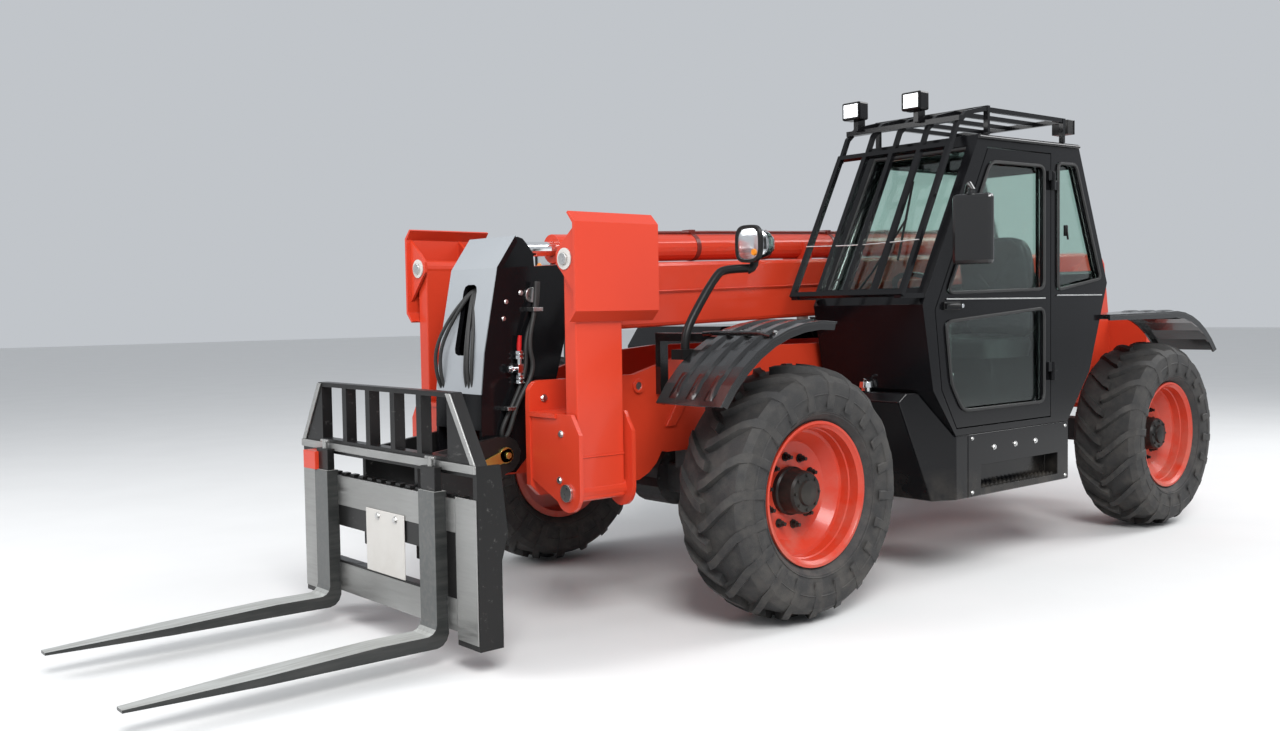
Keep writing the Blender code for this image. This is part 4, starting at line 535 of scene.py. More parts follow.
# ---------------------------------------------------------------- mudguards
# Moulded black plastic over each wheel; the front pair has three pressed ribs and a clamp bar across.
# A tubular arm holds each one from the frame, with round-headed bolts through the crown.
plastic = paint("moulded_plastic", (0.005, 0.005, 0.0055), (0.010, 0.010, 0.010), 0.20, 0.35, 1.0, 0.4, 0.5)
FENDER_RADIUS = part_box("fender_front_left")[1][2] - AXLE_Z
for end, axle_x, first, last in (("front", FRONT_X, 36, 95), ("rear", REAR_X, 86, 136)):
    for hand, side in (("left", 1), ("right", -1)):
        dress("fender_%s_%s" % (end, hand), plastic, 0.003, 40)
        ribs, heads = [], []
        for y in (0.84, 0.95, 1.06):
            edge = circle((axle_x, AXLE_Z), FENDER_RADIUS - 0.001, first, last, 24)
            rise = 0.013 * np.sin(np.linspace(0, math.pi, 24)) ** 0.3
            across = np.array([(-0.030, 0.0), (-0.018, 1.0), (0.018, 1.0), (0.030, 0.0)])
            out = (edge - (axle_x, AXLE_Z)) / (FENDER_RADIUS - 0.001)
            rings = [[(x + n * r * h, side * (y + w), z + m * r * h) for w, h in across]
                     for (x, z), (n, m), r in zip(edge, out, rise)]
            ribs.append(capped(rings))
        arm_x = axle_x + (0.26 if end == "front" else -0.10)
        top = AXLE_Z + math.sqrt(FENDER_RADIUS ** 2 - (arm_x - axle_x) ** 2)
        for y in (0.79, 0.90, 1.00, 1.10):
            heads += bolt((arm_x, side * y, top), (0, 0, 1), 0.009, 0.007)
        if end == "front":
            clamp = [(arm_x + 0.05, side * y, top - 0.020 + rise) for y, rise in
                     ((0.705, 0.012), (0.76, 0.014), (0.90, 0.015), (1.05, 0.014), (1.12, 0.002))]
            ribs.append(tube(clamp, 0.011, 10))
        piece("fender_ribs_%s_%s" % (end, hand), ribs, plastic, "chassis", smooth=40)
        piece("fender_bolts_%s_%s" % (end, hand), heads, bright, "chassis")


# ---------------------------------------------------------------- engine cover
# A black pressed cover on the right closes the engine, with louvres at its side and a lifting handle.
# The louvres are folded out of the sheet; the exhaust leaves through the top at the back.
dress("engine_cover", black, 0.010)
cover_low, cover_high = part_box("engine_cover")
louvres = []
for row in range(9):
    x = cover_low.x + 0.42 + row * 0.075
    fin = [(x, cover_low.y + 0.001), (x + 0.030, cover_low.y - 0.010), (x + 0.034, cover_low.y - 0.008),
           (x + 0.034, cover_low.y + 0.001)]
    louvres.append(panel(fin, 0.78, 1.12, "XY"))
handle = [(cover_high.x - 0.75, cover_low.y, 1.05), (cover_high.x - 0.75, cover_low.y - 0.014, 1.05),
          (cover_high.x - 0.57, cover_low.y - 0.014, 1.05), (cover_high.x - 0.57, cover_low.y, 1.05)]
louvres.append(tube(handle, 0.006, 8))
piece("cover_louvres", louvres, satin_black, "chassis", smooth=40)
pipe_x, pipe_y = cover_low.x + 0.55, -0.80
stack = [(pipe_x, pipe_y, 1.30), (pipe_x, pipe_y, 1.52), (pipe_x - 0.02, pipe_y, 1.60),
         (pipe_x - 0.09, pipe_y, 1.65)]
piece("exhaust",
      [tube(stack, 0.040, 24, 2), tube([(pipe_x, pipe_y, 1.318), (pipe_x, pipe_y, 1.335)], 0.055, 24)],
      metal("exhaust_steel", (0.22, 0.19, 0.17), 0.45, 0.8), "chassis")
seams = [slab((cover_low.x + 0.90, cover_low.y - 0.004, 0.64),
              (cover_low.x + 0.908, cover_low.y + 0.002, 1.30))]
for x in (cover_low.x + 0.30, cover_high.x - 0.22):
    seams.append(tube([(x, cover_low.y + 0.002, 1.22), (x, cover_low.y - 0.006, 1.22)], 0.020, 20))
piece("cover_catches", seams, bright, "chassis", edge=0.001)


# ---------------------------------------------------------------- cab shell
# A narrow black cab of pressed steel, with a rubber seal round each pane and a belt line under the glass.
# Its side behind the door has a small hinged window with a latch.
dress("cab_shell", black, 0.008, 30)
seal, tree, shader = new_material("window_seal")
tree.links.new(blended(tree, noise_at(tree, 30.0), (0.010, 0.010, 0.010), (0.020, 0.020, 0.020)),
               shader.inputs["Base Color"])
set_inputs(shader, Roughness=0.6)

glass, tree, shader = new_material("green_tinted_glass")
tree.links.new(blended(tree, noise_at(tree, 1.2, 2.0), (0.70, 0.86, 0.80), (0.74, 0.88, 0.82)),
               shader.inputs["Base Color"])
set_inputs(shader, Transmission_Weight=1.0, IOR=1.45)
tree.links.new(ramp(tree, noise_at(tree, 14.0, 6.0), 0.35, 0.8, 0.01, 0.10), shader.inputs["Roughness"])
for node in ("windscreen", "rear_window", "roof_window", "right_window", "quarter_window",
             "door_upper_glass", "door_lower_glass"):
    dress(node, glass, 0)

CAB_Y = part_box("door")[1][1] - 0.022          # the cab's outer face; the handle stands out beyond it
HINGE_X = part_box("door")[0][0] + 0.014


def seal_round(outline, y, half=0.009, thick=0.008):
    """A rubber bead along a closed outline: a narrow four-sided section carried round its mitred corners."""
    outline = np.asarray(outline, float)
    before, after = np.roll(outline, 1, 0), np.roll(outline, -1, 0)
    one = (outline - before) / np.linalg.norm(outline - before, axis=1)[:, None]
    two = (after - outline) / np.linalg.norm(after - outline, axis=1)[:, None]
    normal = np.stack([-one[:, 1], one[:, 0]], -1) + np.stack([-two[:, 1], two[:, 0]], -1)
    normal /= np.maximum((normal ** 2).sum(1) / 2, 0.6)[:, None]
    rings = [np.stack([(outline + normal * off)[:, 0], np.full(len(outline), y + up),
                       (outline + normal * off)[:, 1]], -1)
             for off, up in ((-half, 0.0), (-half * 0.6, thick), (half * 0.6, thick), (half, 0.0))]
    return surface(np.stack(rings, 1), around=True, along=True)


def edge_loop(box, insets):
    """A rounded outline through named corner points, each corner cut back by its inset and rounded by an
    arc."""
    corners, made = np.asarray(box, float), []
    for i, here in enumerate(corners):
        back, ahead = corners[i - 1] - here, corners[(i + 1) % len(corners)] - here
        one, two = here + back / np.linalg.norm(back) * insets, here + ahead / np.linalg.norm(ahead) * insets
        t = np.linspace(0, 1, 6)[:, None]
        made.append((1 - t) ** 2 * one + 2 * t * (1 - t) * here + t ** 2 * two)
    return np.concatenate(made)


f = FRONT_X
REAR_PANE = HINGE_X + 0.075
UPPER_PANE = [(f - 1.000, 1.485), (f - 1.385, 2.165), (REAR_PANE, 2.175), (REAR_PANE, 1.505)]
LOWER_PANE = [(f - 1.130, 0.885), (f - 1.030, 1.030), (f - 0.985, 1.340), (REAR_PANE, 1.400),
              (REAR_PANE, 0.885)]
QUARTER_PANE = [(f - 2.045, 1.500), (f - 2.045, 2.200), (f - 2.235, 2.205), (f - 2.515, 1.565)]
RIGHT_PANE = [(f - 0.970, 1.480), (f - 1.380, 2.200), (f - 2.220, 2.210), (f - 2.490, 1.560)]
CAB_INNER_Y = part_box("cab_shell")[0][1]
piece("quarter_seal", [seal_round(edge_loop(QUARTER_PANE, 0.035), CAB_Y - 0.001)], seal, "chassis", smooth=60)
side_seal = seal_round(edge_loop(RIGHT_PANE, 0.035), CAB_INNER_Y + 0.001, thick=-0.008)
piece("right_seal", [side_seal], seal, "chassis", smooth=60)
latch = [slab((f - 2.13, CAB_Y, 1.80), (f - 2.10, CAB_Y + 0.012, 1.86)),
         tube([(f - 2.115, CAB_Y + 0.008, 1.86), (f - 2.115, CAB_Y + 0.020, 1.78)], 0.006, 10)]
piece("quarter_latch", latch, satin_black, "chassis", edge=0.002)
gutter = [(f - 1.275, CAB_Y + 0.003, 2.285), (f - 1.70, CAB_Y + 0.006, 2.292),
          (f - 2.262, CAB_Y + 0.003, 2.305)]
piece("rain_gutter", [tube(gutter, 0.009, 10)], black, "chassis", smooth=60)
wiper = [tube([(f - 0.905, 0.62, 1.50), (f - 0.872, 0.62, 1.48), (f - 0.915, 0.70, 1.60),
               (f - 1.08, 0.80, 1.88)],
              0.006, 8),
         tube([(f - 0.95, 0.84, 1.66), (f - 1.19, 0.76, 2.08)], 0.007, 8)]
piece("windscreen_wiper", wiper, satin_black, "chassis", smooth=60)
rails = []
for x, z in ((f - 0.842, 1.478), (f - 1.262, 2.228)):
    rails.append(tube([(x, CAB_INNER_Y + 0.05, z), (x, CAB_Y - 0.05, z)], 0.011, 8))
for y in (CAB_INNER_Y + 0.053, CAB_Y - 0.053):
    rails.append(tube([(f - 0.842, y, 1.478), (f - 1.262, y, 2.228)], 0.011, 8))
piece("windscreen_seal", rails, seal, "chassis", smooth=60)


# ---------------------------------------------------------------- door
# One pressed frame with a tall upper pane and a lower one, hung on the pillar behind it by two lift-off
# hinges.
# A paddle handle sits just under the belt, with a chrome barrel lock beside it.
dress("door", black, 0.006, 30)
panes = [seal_round(edge_loop(pane, 0.05), CAB_Y - 0.001) for pane in (UPPER_PANE, LOWER_PANE)]
piece("door_seals", panes, seal, "door", smooth=60)
paddle = [slab((f - 1.10, CAB_Y - 0.002, 1.400), (f - 0.965, CAB_Y + 0.006, 1.440))]
grip = [(f - 1.085, CAB_Y + 0.006, 1.422), (f - 1.075, CAB_Y + 0.021, 1.424),
        (f - 0.99, CAB_Y + 0.021, 1.424),
        (f - 0.98, CAB_Y + 0.006, 1.422)]
paddle.append(tube(grip, 0.0075, 10, 1))
piece("door_handle", paddle, satin_black, "door", edge=0.002, smooth=40)
piece("door_lock", [tube([(f - 1.125, CAB_Y - 0.002, 1.42), (f - 1.125, CAB_Y + 0.006, 1.42)], 0.011, 16)],
      chrome, "door", edge=0.001)
inner_grip = [(f - 1.12, CAB_Y - 0.052, 1.05), (f - 1.13, CAB_Y - 0.085, 1.08),
              (f - 1.13, CAB_Y - 0.085, 1.34),
              (f - 1.10, CAB_Y - 0.052, 1.37)]
piece("door_inner_grip", [tube(inner_grip, 0.012, 10, 1)], plastic, "door", smooth=60)


for pane, body in (("door_upper_glass", "door"), ("quarter_window", "chassis")):
    (low_x, _, low_z), (high_x, _, _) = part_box(pane)
    strip = slab((low_x - 0.012, CAB_Y - 0.001, low_z - 0.034),
                 (high_x + 0.012, CAB_Y + 0.003, low_z - 0.028))
    piece("belt_trim_" + body, [strip], bright, body, edge=0.001)


# ---------------------------------------------------------------- seat and steering
# The suspension seat is a moulded foam cushion and backrest in dark vinyl, on a rubber bellows.
# The steering column rises from the floor to a small wheel with a spinner knob; the console holds the levers.
vinyl, tree, shader = new_material("seat_vinyl")
tree.links.new(blended(tree, noise_at(tree, 8.0), (0.020, 0.021, 0.023), (0.034, 0.035, 0.038)),
               shader.inputs["Base Color"])
tree.links.new(ramp(tree, noise_at(tree, 25.0), 0.3, 0.7, 0.28, 0.50), shader.inputs["Roughness"])
bumped(tree, shader, noise_at(tree, 500.0, 2.0), 0.25, 0.0008)
CAB_MIDDLE = (CAB_INNER_Y + CAB_Y) / 2
SEAT_X = f - 1.82


def cushion(low, high, crown, lean=0.0, foot=None, channels=0):
    """A crowned pad over a grid: a superellipse outline, its top raised by a cosine dome with sewn
    channels."""
    low, high = np.asarray(low, float), np.asarray(high, float)
    u, v = np.meshgrid(np.linspace(0, 2 * math.pi, 48, endpoint=False), np.linspace(0, 1, 18), indexing="xy")
    bulge = np.sign(np.cos(u)) * np.abs(np.cos(u)) ** 0.42, np.sign(np.sin(u)) * np.abs(np.sin(u)) ** 0.42
    spread = np.sin(np.clip(v * 1.28, 0, 1) * math.pi / 2) ** 0.7
    drop = np.clip((v - 0.62) / 0.38, 0, 1)
    middle, half = (low + high) / 2, (high - low) / 2
    pull = 1.0 - 0.05 * drop ** 2
    x = middle[0] + half[0] * bulge[0] * spread * pull
    y = middle[1] + half[1] * bulge[1] * spread * pull
    dome = crown * np.cos(np.clip(spread, 0, 1) * math.pi / 2)
    z = high[2] - crown + dome - drop * (high[2] - crown - low[2])
    if channels:
        seam = np.sin(math.pi * channels * (x - low[0]) / (2 * half[0])) / 0.10
        z = z - 0.006 * np.exp(-seam ** 2) * (1 - drop)
    points = np.stack([x, y, z], -1)
    if lean:
        turn = np.array([[math.cos(lean), 0, math.sin(lean)], [0, 1, 0],
                         [-math.sin(lean), 0, math.cos(lean)]])
        points = (points - foot) @ turn.T + foot
    return capped(points)


foot = np.array((SEAT_X - 0.20, CAB_MIDDLE, 1.22))
pads = [cushion((SEAT_X - 0.22, CAB_MIDDLE - 0.235, 1.13), (SEAT_X + 0.255, CAB_MIDDLE + 0.235, 1.262), 0.028,
                channels=4),
        cushion((SEAT_X - 0.79, CAB_MIDDLE - 0.225, 1.145), (SEAT_X - 0.20, CAB_MIDDLE + 0.225, 1.255), 0.026,
                math.radians(90 + 9.7), foot, 5)]
seat_pads = piece("seat_pads", pads, vinyl, "chassis", ("seat",), smooth=75)
bellows = [slab((SEAT_X - 0.17 + 0.012 * (i % 2), CAB_MIDDLE - 0.18 + 0.012 * (i % 2), 0.812 + i * 0.040),
                (SEAT_X + 0.17 - 0.012 * (i % 2), CAB_MIDDLE + 0.18 - 0.012 * (i % 2), 0.8545 + i * 0.040))
           for i in range(8)]
piece("seat_bellows", bellows, plastic, "chassis", edge=0.003)
dress("steering_column", plastic, 0.004)
levers = [tube([(f - 1.16, CAB_MIDDLE - 0.09, 1.34), (f - 1.24, CAB_MIDDLE - 0.24, 1.44)], 0.006, 8),
          tube([(f - 1.235, CAB_MIDDLE - 0.235, 1.435), (f - 1.25, CAB_MIDDLE - 0.262, 1.455)], 0.012, 12)]
console = [(f - 1.62, 0.82), (f - 1.50, 1.26), (f - 1.60, 1.34), (f - 2.02, 1.34), (f - 2.02, 0.82)]
levers.append(panel(console, CAB_INNER_Y + 0.052, CAB_INNER_Y + 0.105))
levers.append(tube([(f - 1.60, CAB_INNER_Y + 0.08, 1.33), (f - 1.585, CAB_INNER_Y + 0.085, 1.47)], 0.008, 8))
levers.append(tube([(f - 1.587, CAB_INNER_Y + 0.085, 1.45), (f - 1.58, CAB_INNER_Y + 0.087, 1.53)],
                   [0.016, 0.022], 14))
piece("cab_controls", levers, plastic, "chassis", edge=0.002)


# ---------------------------------------------------------------- guard and work lights
# A welded guard of round and square bar stands over the windscreen and roof, with a taut wire across.
# Two square work lights stand on its front rail and one on the roof's rear corner.
dress("cab_guard", black, 0.007, 30)
lens, tree, shader = new_material("lamp_lens")
flutes = add_node(tree, "TexWave", Scale=60.0, Distortion=0.0)
flutes.bands_direction = "Y"
place = tree.nodes.new("ShaderNodeTexCoord")
tree.links.new(place.outputs["Object"], flutes.inputs["Vector"])
silvered = blended(tree, flutes.outputs["Fac"], (0.56, 0.58, 0.60), (0.86, 0.87, 0.88))
tree.links.new(silvered, shader.inputs["Base Color"])
set_inputs(shader, Roughness=0.10, Metallic=0.9, Coat_Weight=1.0)
bumped(tree, shader, flutes.outputs["Fac"], 0.25, 0.001)


def work_light(x, y, low, high, facing):
    """The lamp's lens in a raised frame on its front face; facing is 1 forwards and -1 backwards."""
    half = 0.054
    front = x + facing * 0.004
    rim = [slab((min(x, front), y - half, low), (max(x, front), y + half, low + 0.008)),
           slab((min(x, front), y - half, high - 0.008), (max(x, front), y + half, high)),
           slab((min(x, front), y - half, low), (max(x, front), y - half + 0.008, high)),
           slab((min(x, front), y + half - 0.008, low), (max(x, front), y + half, high))]
    face = slab((min(x, x + facing * 0.002), y - half + 0.006, low + 0.006),
                (max(x, x + facing * 0.002), y + half - 0.006, high - 0.006))
    return rim, face


rims, faces = [], []
for lamp_y in (CAB_MIDDLE - 0.27, CAB_MIDDLE + 0.12):
    rim, face = work_light(f - 1.0195, lamp_y, 2.430, 2.515, 1)
    rims += rim
    faces.append(face)
rear_lamp = slab((f - 2.30, CAB_Y - 0.15, 2.385), (f - 2.235, CAB_Y - 0.05, 2.465))
rims += [rear_lamp, slab((f - 2.27, CAB_Y - 0.11, 2.315), (f - 2.245, CAB_Y - 0.09, 2.39))]
rim, face = work_light(f - 2.30, CAB_Y - 0.10, 2.385, 2.465, -1)
rims += rim
faces.append(face)
piece("work_light_frames", rims, satin_black, "chassis", edge=0.002)
piece("work_light_lenses", faces, lens, "chassis", edge=0.001)
wire = [(f - 0.755, CAB_MIDDLE - 0.36, 1.745), (f - 0.765, CAB_MIDDLE, 1.735),
        (f - 0.755, CAB_MIDDLE + 0.36, 1.745)]
piece("guard_wire", [tube(wire, 0.003, 8, 2)], bright, "chassis", smooth=60)


# ---------------------------------------------------------------- mirrors
# Each mirror is a moulded shell on a bent tube, turned a little in towards the driver.
# The glass is set in the shell's back face behind a thin lip.
silver, tree, shader = new_material("mirror_silver")
tree.links.new(blended(tree, noise_at(tree, 3.0), (0.82, 0.84, 0.85), (0.88, 0.89, 0.90)),
               shader.inputs["Base Color"])
set_inputs(shader, Metallic=1.0, Roughness=0.03)
MIRROR_TURN = math.radians(16)
for hand, side in (("left", 1), ("right", -1)):
    dress("mirror_" + hand, plastic, 0.009, 30)
    centre = np.array((f - 0.93, side * 1.30, 1.79))
    back = np.array((-math.cos(MIRROR_TURN), -side * math.sin(MIRROR_TURN), 0.0))
    across = np.array((-back[1], back[0], 0.0))
    outline = circle((0, 0), 1.0, count=40)
    outline = np.sign(outline) * np.abs(outline) ** 0.35
    rings = [centre + back * depth + outline[:, :1] * size[0] * across + outline[:,
                                                                                 1:] * size[1] * np.array((0,
                                                                                                           0,
                                                                                                           1))
             for depth, size in ((0.018, (0.086, 0.155)), (0.0265, (0.086, 0.155)), (0.0270, (0.083, 0.152)))]
    piece("mirror_glass_" + hand, [capped(rings)], silver, "chassis", smooth=40)


# ---------------------------------------------------------------- headlamps
# A chromed bowl behind a clear lens, with an amber turn lamp beside it, on a bent tube off the mudguard's
# inner end.
# The shell is one pressed bowl with a rubber rim, nearly square in front and drawn to a blunt point behind.
amber, tree, shader = new_material("amber_lens")
tree.links.new(blended(tree, noise_at(tree, 60.0), (0.80, 0.28, 0.02), (0.72, 0.22, 0.02)),
               shader.inputs["Base Color"])
set_inputs(shader, Roughness=0.15, Coat_Weight=1.0)
for hand, side in (("left", 1), ("right", -1)):
    post = np.array([(f + 0.42, 0.70, 1.215), (f + 0.42, 0.70, 1.30), (f + 0.38, 0.70, 1.38),
                     (f + 0.22, 0.70, 1.58),
                     (f + 0.17, 0.71, 1.605), (f + 0.05, 0.76, 1.61)]) * (1, side, 1)
    neck = np.array([(f + 0.07, 0.752, 1.60), (f + 0.045, 0.77, 1.615), (f + 0.04, 0.775, 1.66)]) * (1, side,
                                                                                                     1)
    stem = [tube(post, 0.020, 16, 2), tube(neck, 0.020, 14, 1),
            slab((f + 0.36, min(side * 0.672, side * 0.748), 1.20),
                 (f + 0.48, max(side * 0.672, side * 0.748), 1.245))]
    centre = np.array((f, side * 0.79, 1.72))
    round_square = circle((0, 0), 1.0, count=48)
    round_square = np.sign(round_square) * np.abs(round_square) ** 0.62
    made = []
    for profile in ([(0.098, 0.066), (0.094, 0.075), (0.060, 0.072), (0.000, 0.056), (-0.040, 0.036),
                     (-0.056, 0.014)],
                    [(0.106, 0.068), (0.106, 0.081), (0.085, 0.082), (0.084, 0.070), (0.100, 0.068),
                     (0.106, 0.068)],
                    [(0.100, 0.069), (0.103, 0.060), (0.105, 0.030), (0.1055, 0.004)]):
        rings = [np.column_stack([np.full(48, x), round_square * radius * (0.98, 1.06)]) + centre
                 for x, radius in profile]
        if profile[0] == profile[-1]:
            made.append(surface(rings[:-1], around=True, along=True))
        else:
            made.append(capped(rings))
    piece("headlamp_stem_" + hand, stem, satin_black, "chassis", ("headlamp_" + hand,), smooth=40)
    piece("headlamp_bowl_" + hand, made[:1], chrome, "chassis", smooth=40)
    piece("headlamp_rim_" + hand, made[1:2], satin_black, "chassis", smooth=40)
    piece("headlamp_lens_" + hand, made[2:], lens, "chassis", smooth=40)
    turn = [(0.110, 0.0), (0.110, 0.014), (0.100, 0.018), (0.100, 0.0)]
    points, grid = lathe(turn, (0, 0, 0), "X", 28)
    piece("turn_lens_" + hand, [(points + centre + (0, side * 0.040, -0.040), grid)], amber, "chassis",
          smooth=50)


# ---------------------------------------------------------------- tank and step
# The fuel tank fills the space below the cab and ends in a ledge with the filler; the step box hangs outside
# it.
# Both are folded black sheet; the tread is a serrated strip, and three chromed bolts hold the box.
dress("side_tank", black, 0.008, 30)
dress("cab_step", black, 0.004, 30)
STEP_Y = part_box("cab_step")[1][1]
step_x = np.linspace(f - 2.04, f - 1.31, 38)
teeth = []
for y in (STEP_Y - 0.070, STEP_Y - 0.045, STEP_Y - 0.020):
    row = np.stack([step_x, 0.4715 + 0.012 * (np.arange(len(step_x)) % 2)], -1)
    teeth.append(panel(np.concatenate([[(step_x[-1], 0.4695), (step_x[0], 0.4695)], row]), y - 0.002,
                       y + 0.002))
piece("step_tread", teeth, satin_black, "chassis")
heads = []
for x in (f - 1.42, f - 1.62, f - 1.82):
    heads += bolt((x, STEP_Y, 0.675), (0, 1, 0), 0.011, 0.009)
for x in (f - 1.22, f - 2.13):
    for z in (0.455, 0.735):
        heads += bolt((x, STEP_Y, z), (0, 1, 0), 0.007, 0.006)
piece("step_bolts", heads, bright, "chassis")
filler = np.array((f - 0.868, 0.70, 0.985))
cap = [tube([filler, filler + (0, 0, 0.020)], 0.030, 28),
       tube([filler + (0, 0, 0.018), filler + (0, 0, 0.050)],
          [0.042, 0.038], 28)]
cap.append(tube([filler + (0.0, 0.0, 0.050), filler + (0.02, 0.01, 0.066), filler + (0.045, 0.02, 0.060)],
                0.006, 8, 1))
piece("filler_cap", cap, chrome, "chassis", edge=0.002, smooth=40)


# ---------------------------------------------------------------- boom
# Two box sections slide one inside the other; both are folded from thick plate and welded along the middle
# of the side.
# Wear pads are bolted through the nose; the extension cylinder lies on top with its pipe clamped along it.
SLOPE = math.radians(1.7)
BOOM_X, BOOM_Z = f - 3.85, 1.618


def on_boom(reach, up, y=0.0):
    """A point by its distance along the resting boom from its pivot and its height above the boom's middle
    line."""
    return (BOOM_X + reach * math.cos(SLOPE) + up * math.sin(SLOPE), y,
            BOOM_Z - reach * math.sin(SLOPE) + up * math.cos(SLOPE))


dress("boom_outer", orange, 0.012, 40)
dress("boom_inner", orange, 0.008, 40)
dress("extension_barrel", orange, 0.004, 40)
dress("extension_rod", chrome, 0.002, 40)
side_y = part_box("boom_outer")[1][1]
seams, pad_bolts = [], []
for side in (1, -1):
    ends = [on_boom(reach, 0.016, side * (side_y - 0.001)) for reach in (0.25, 4.32)]
    seams.append(tube(ends, 0.004, 8))
    for reach in (4.25, 4.36):
        for up in (-0.09, 0.09):
            pad_bolts += bolt(on_boom(reach, up, side * side_y), (0, side, 0), 0.012, 0.010)
    ends = [on_boom(0, 0, side * (PLATE_Y + out)) for out in (-0.002, 0.014)]
    pad_bolts.append(tube(ends, 0.058, 32))
up = np.array((math.sin(SLOPE), 0, math.cos(SLOPE)))
for reach in (4.25, 4.36):
    for y in (-0.10, 0.10):
        pad_bolts += bolt(on_boom(reach, 0.161, y), up, 0.012, 0.010)
piece("boom_seams", seams, orange, "boom", smooth=60)
piece("boom_pad_bolts", pad_bolts, bright, "boom")
lines, clamps = [], []
for y in (-0.030, 0.010):
    run = [on_boom(reach, up, y) for reach,
           up in ((1.10, 0.315), (1.16, 0.318), (4.20, 0.318), (4.28, 0.300))]
    lines.append(tube(run, 0.008, 10, 1))
for reach in np.arange(1.35, 4.2, 0.55):
    clamps.append(tube([on_boom(reach, 0.238), on_boom(reach + 0.03, 0.238)], 0.0725, 32))
    clamps.append(slab(on_boom(reach, 0.305, -0.045), np.array(on_boom(reach + 0.03, 0.331, 0.025))))
dark_red = paint("dark_red_pipe", (0.16, 0.020, 0.014), (0.12, 0.016, 0.012), 0.40, 0.2, 0.3, 0.2)
piece("boom_pipes", lines, dark_red, "boom", smooth=60)
piece("boom_pipe_clamps", clamps, dark_red, "boom", edge=0.001, smooth=40)


# ---------------------------------------------------------------- drop head
# The inner section ends in a black fabricated head: two side plates and a folded front with a slot for the
# hoses.
# Pins with bolted keepers hold the cylinders; a red-handled drain valve sits on its left side.
# The head is gloss black all over. Its upward-tilted front faces above 1.05 m get a light grey paint, which is
# a painted reflection of the bright sky on the black.
sky_reflection_grey = paint("head_front_painted_sky_reflection", (0.36, 0.38, 0.40), (0.30, 0.32, 0.34), 0.30, 0.2, 0.5, 0.2)
head = dress("boom_head", black, 0.006, 30)
head.data.materials.append(sky_reflection_grey)
ways = np.empty(len(head.data.polygons) * 3)
head.data.polygons.foreach_get("normal", ways)
middles = np.empty(len(head.data.polygons) * 3)
head.data.polygons.foreach_get("center", middles)
ways, middles = ways.reshape(-1, 3), middles.reshape(-1, 3)
sky_reflecting_faces = (ways[:, 0] > 0.35) & (middles[:, 2] > 1.05)
head.data.polygons.foreach_set("material_index", sky_reflecting_faces.astype(np.int32))
HEAD_Y = 0.190
PIVOT = (f + 1.090, 0.790)
TILT_PIN = (f + 0.900, 1.500)
pins, carriage_pins, keepers = [], [], []
for side in (1, -1):
    x, z = TILT_PIN
    pins.append(tube([(x, side * HEAD_Y, z), (x, side * (HEAD_Y + 0.012), z)], 0.034, 24))
    keepers += bolt((x + 0.055, side * HEAD_Y, z + 0.010), (0, side, 0), 0.009, 0.008)
    for x, z in ((f + 1.035, 1.470), (f + 1.050, 1.395)):
        keepers += bolt((x, side * HEAD_Y, z), (0, side, 0), 0.008, 0.007)
    ends = [(PIVOT[0], side * 0.236, PIVOT[1]), (PIVOT[0], side * 0.252, PIVOT[1])]
    carriage_pins.append(tube(ends, 0.036, 24))
piece("head_pins", pins, bright, "boom_inner", edge=0.002)
piece("head_bolts", keepers, bright, "boom_inner")
piece("carriage_pins", carriage_pins, zinc, "carriage", edge=0.002)
valve_x, valve_y = f + 0.985, HEAD_Y
body_path = [(valve_x, valve_y + 0.022, 1.235), (valve_x, valve_y + 0.022, 1.10)]
valve = [tube(body_path, 0.013, 16),
         slab((valve_x - 0.016, valve_y, 1.150), (valve_x + 0.016, valve_y + 0.036, 1.190))]
for z in (1.235, 1.215, 1.125, 1.105):
    valve += bolt((valve_x, valve_y + 0.022, z), (0, 0, 1), 0.019, 0.014)
valve.append(tube([(valve_x, valve_y + 0.022, 1.170), (valve_x + 0.050, valve_y + 0.026, 1.170)], 0.010, 14))
valve += bolt((valve_x + 0.050, valve_y + 0.026, 1.170), (1, 0, 0), 0.015, 0.016)
piece("drain_valve", valve, chrome, "boom_inner", edge=0.001, smooth=40)
red = paint("red_handle", (0.55, 0.012, 0.012), (0.45, 0.010, 0.010), 0.35, 0.3, 0.2, 0.1)
piece("valve_handle", [tube([(valve_x, valve_y + 0.022, 1.247), (valve_x, valve_y + 0.022, 1.275),
                             (valve_x - 0.003, valve_y + 0.026, 1.318)], [0.010, 0.012, 0.009], 14, 1)],
      red, "boom_inner", smooth=50)

hose_rubber, tree, shader = new_material("hose_rubber")
tree.links.new(blended(tree, noise_at(tree, 20.0), (0.012, 0.012, 0.012), (0.022, 0.022, 0.021)),
               shader.inputs["Base Color"])
set_inputs(shader, Roughness=0.55)
bumped(tree, shader, noise_at(tree, 260.0, 2.0, 0.5, (1, 1, 0.3)), 0.3, 0.0006)
hoses = []
for lane, (end_y,
           bow) in enumerate(((-0.150, 0.062), (-0.128, 0.048), (0.060, 0.030), (0.085, 0.036),
                              (0.108, 0.026))):
    start_y = -0.020 + 0.010 * lane
    hoses.append(tube([(f + 1.035, start_y, 1.535), (f + 1.085, start_y, 1.520),
                       (f + 1.100 + bow, start_y * 0.5 + end_y * 0.5, 1.40), (f + 1.140 + bow, end_y, 1.26),
                       (f + 1.160 + bow * 0.6, end_y, 1.14), (f + 1.160, end_y, 1.06),
                       (f + 1.100, end_y, 1.00)],
                      0.0085, 12, 3))
for lane in range(2):
    y = HEAD_Y + 0.014 + 0.026 * lane
    hoses.append(tube([(f + 0.860 + 0.03 * lane, y - 0.010, 1.560), (f + 0.875 + 0.03 * lane, y, 1.44),
                       (f + 0.955, y + 0.01, 1.30 - 0.02 * lane), (f + 0.950 - 0.03 * lane, y + 0.012, 1.16),
                       (f + 1.020, y + 0.010, 1.02), (f + 1.085 - 0.03 * lane, y, 0.90),
                       (f + 1.075, y - 0.010, 0.86)],
                      0.0105, 12, 3))
piece("head_hoses", hoses, hose_rubber, "boom_inner", smooth=60)
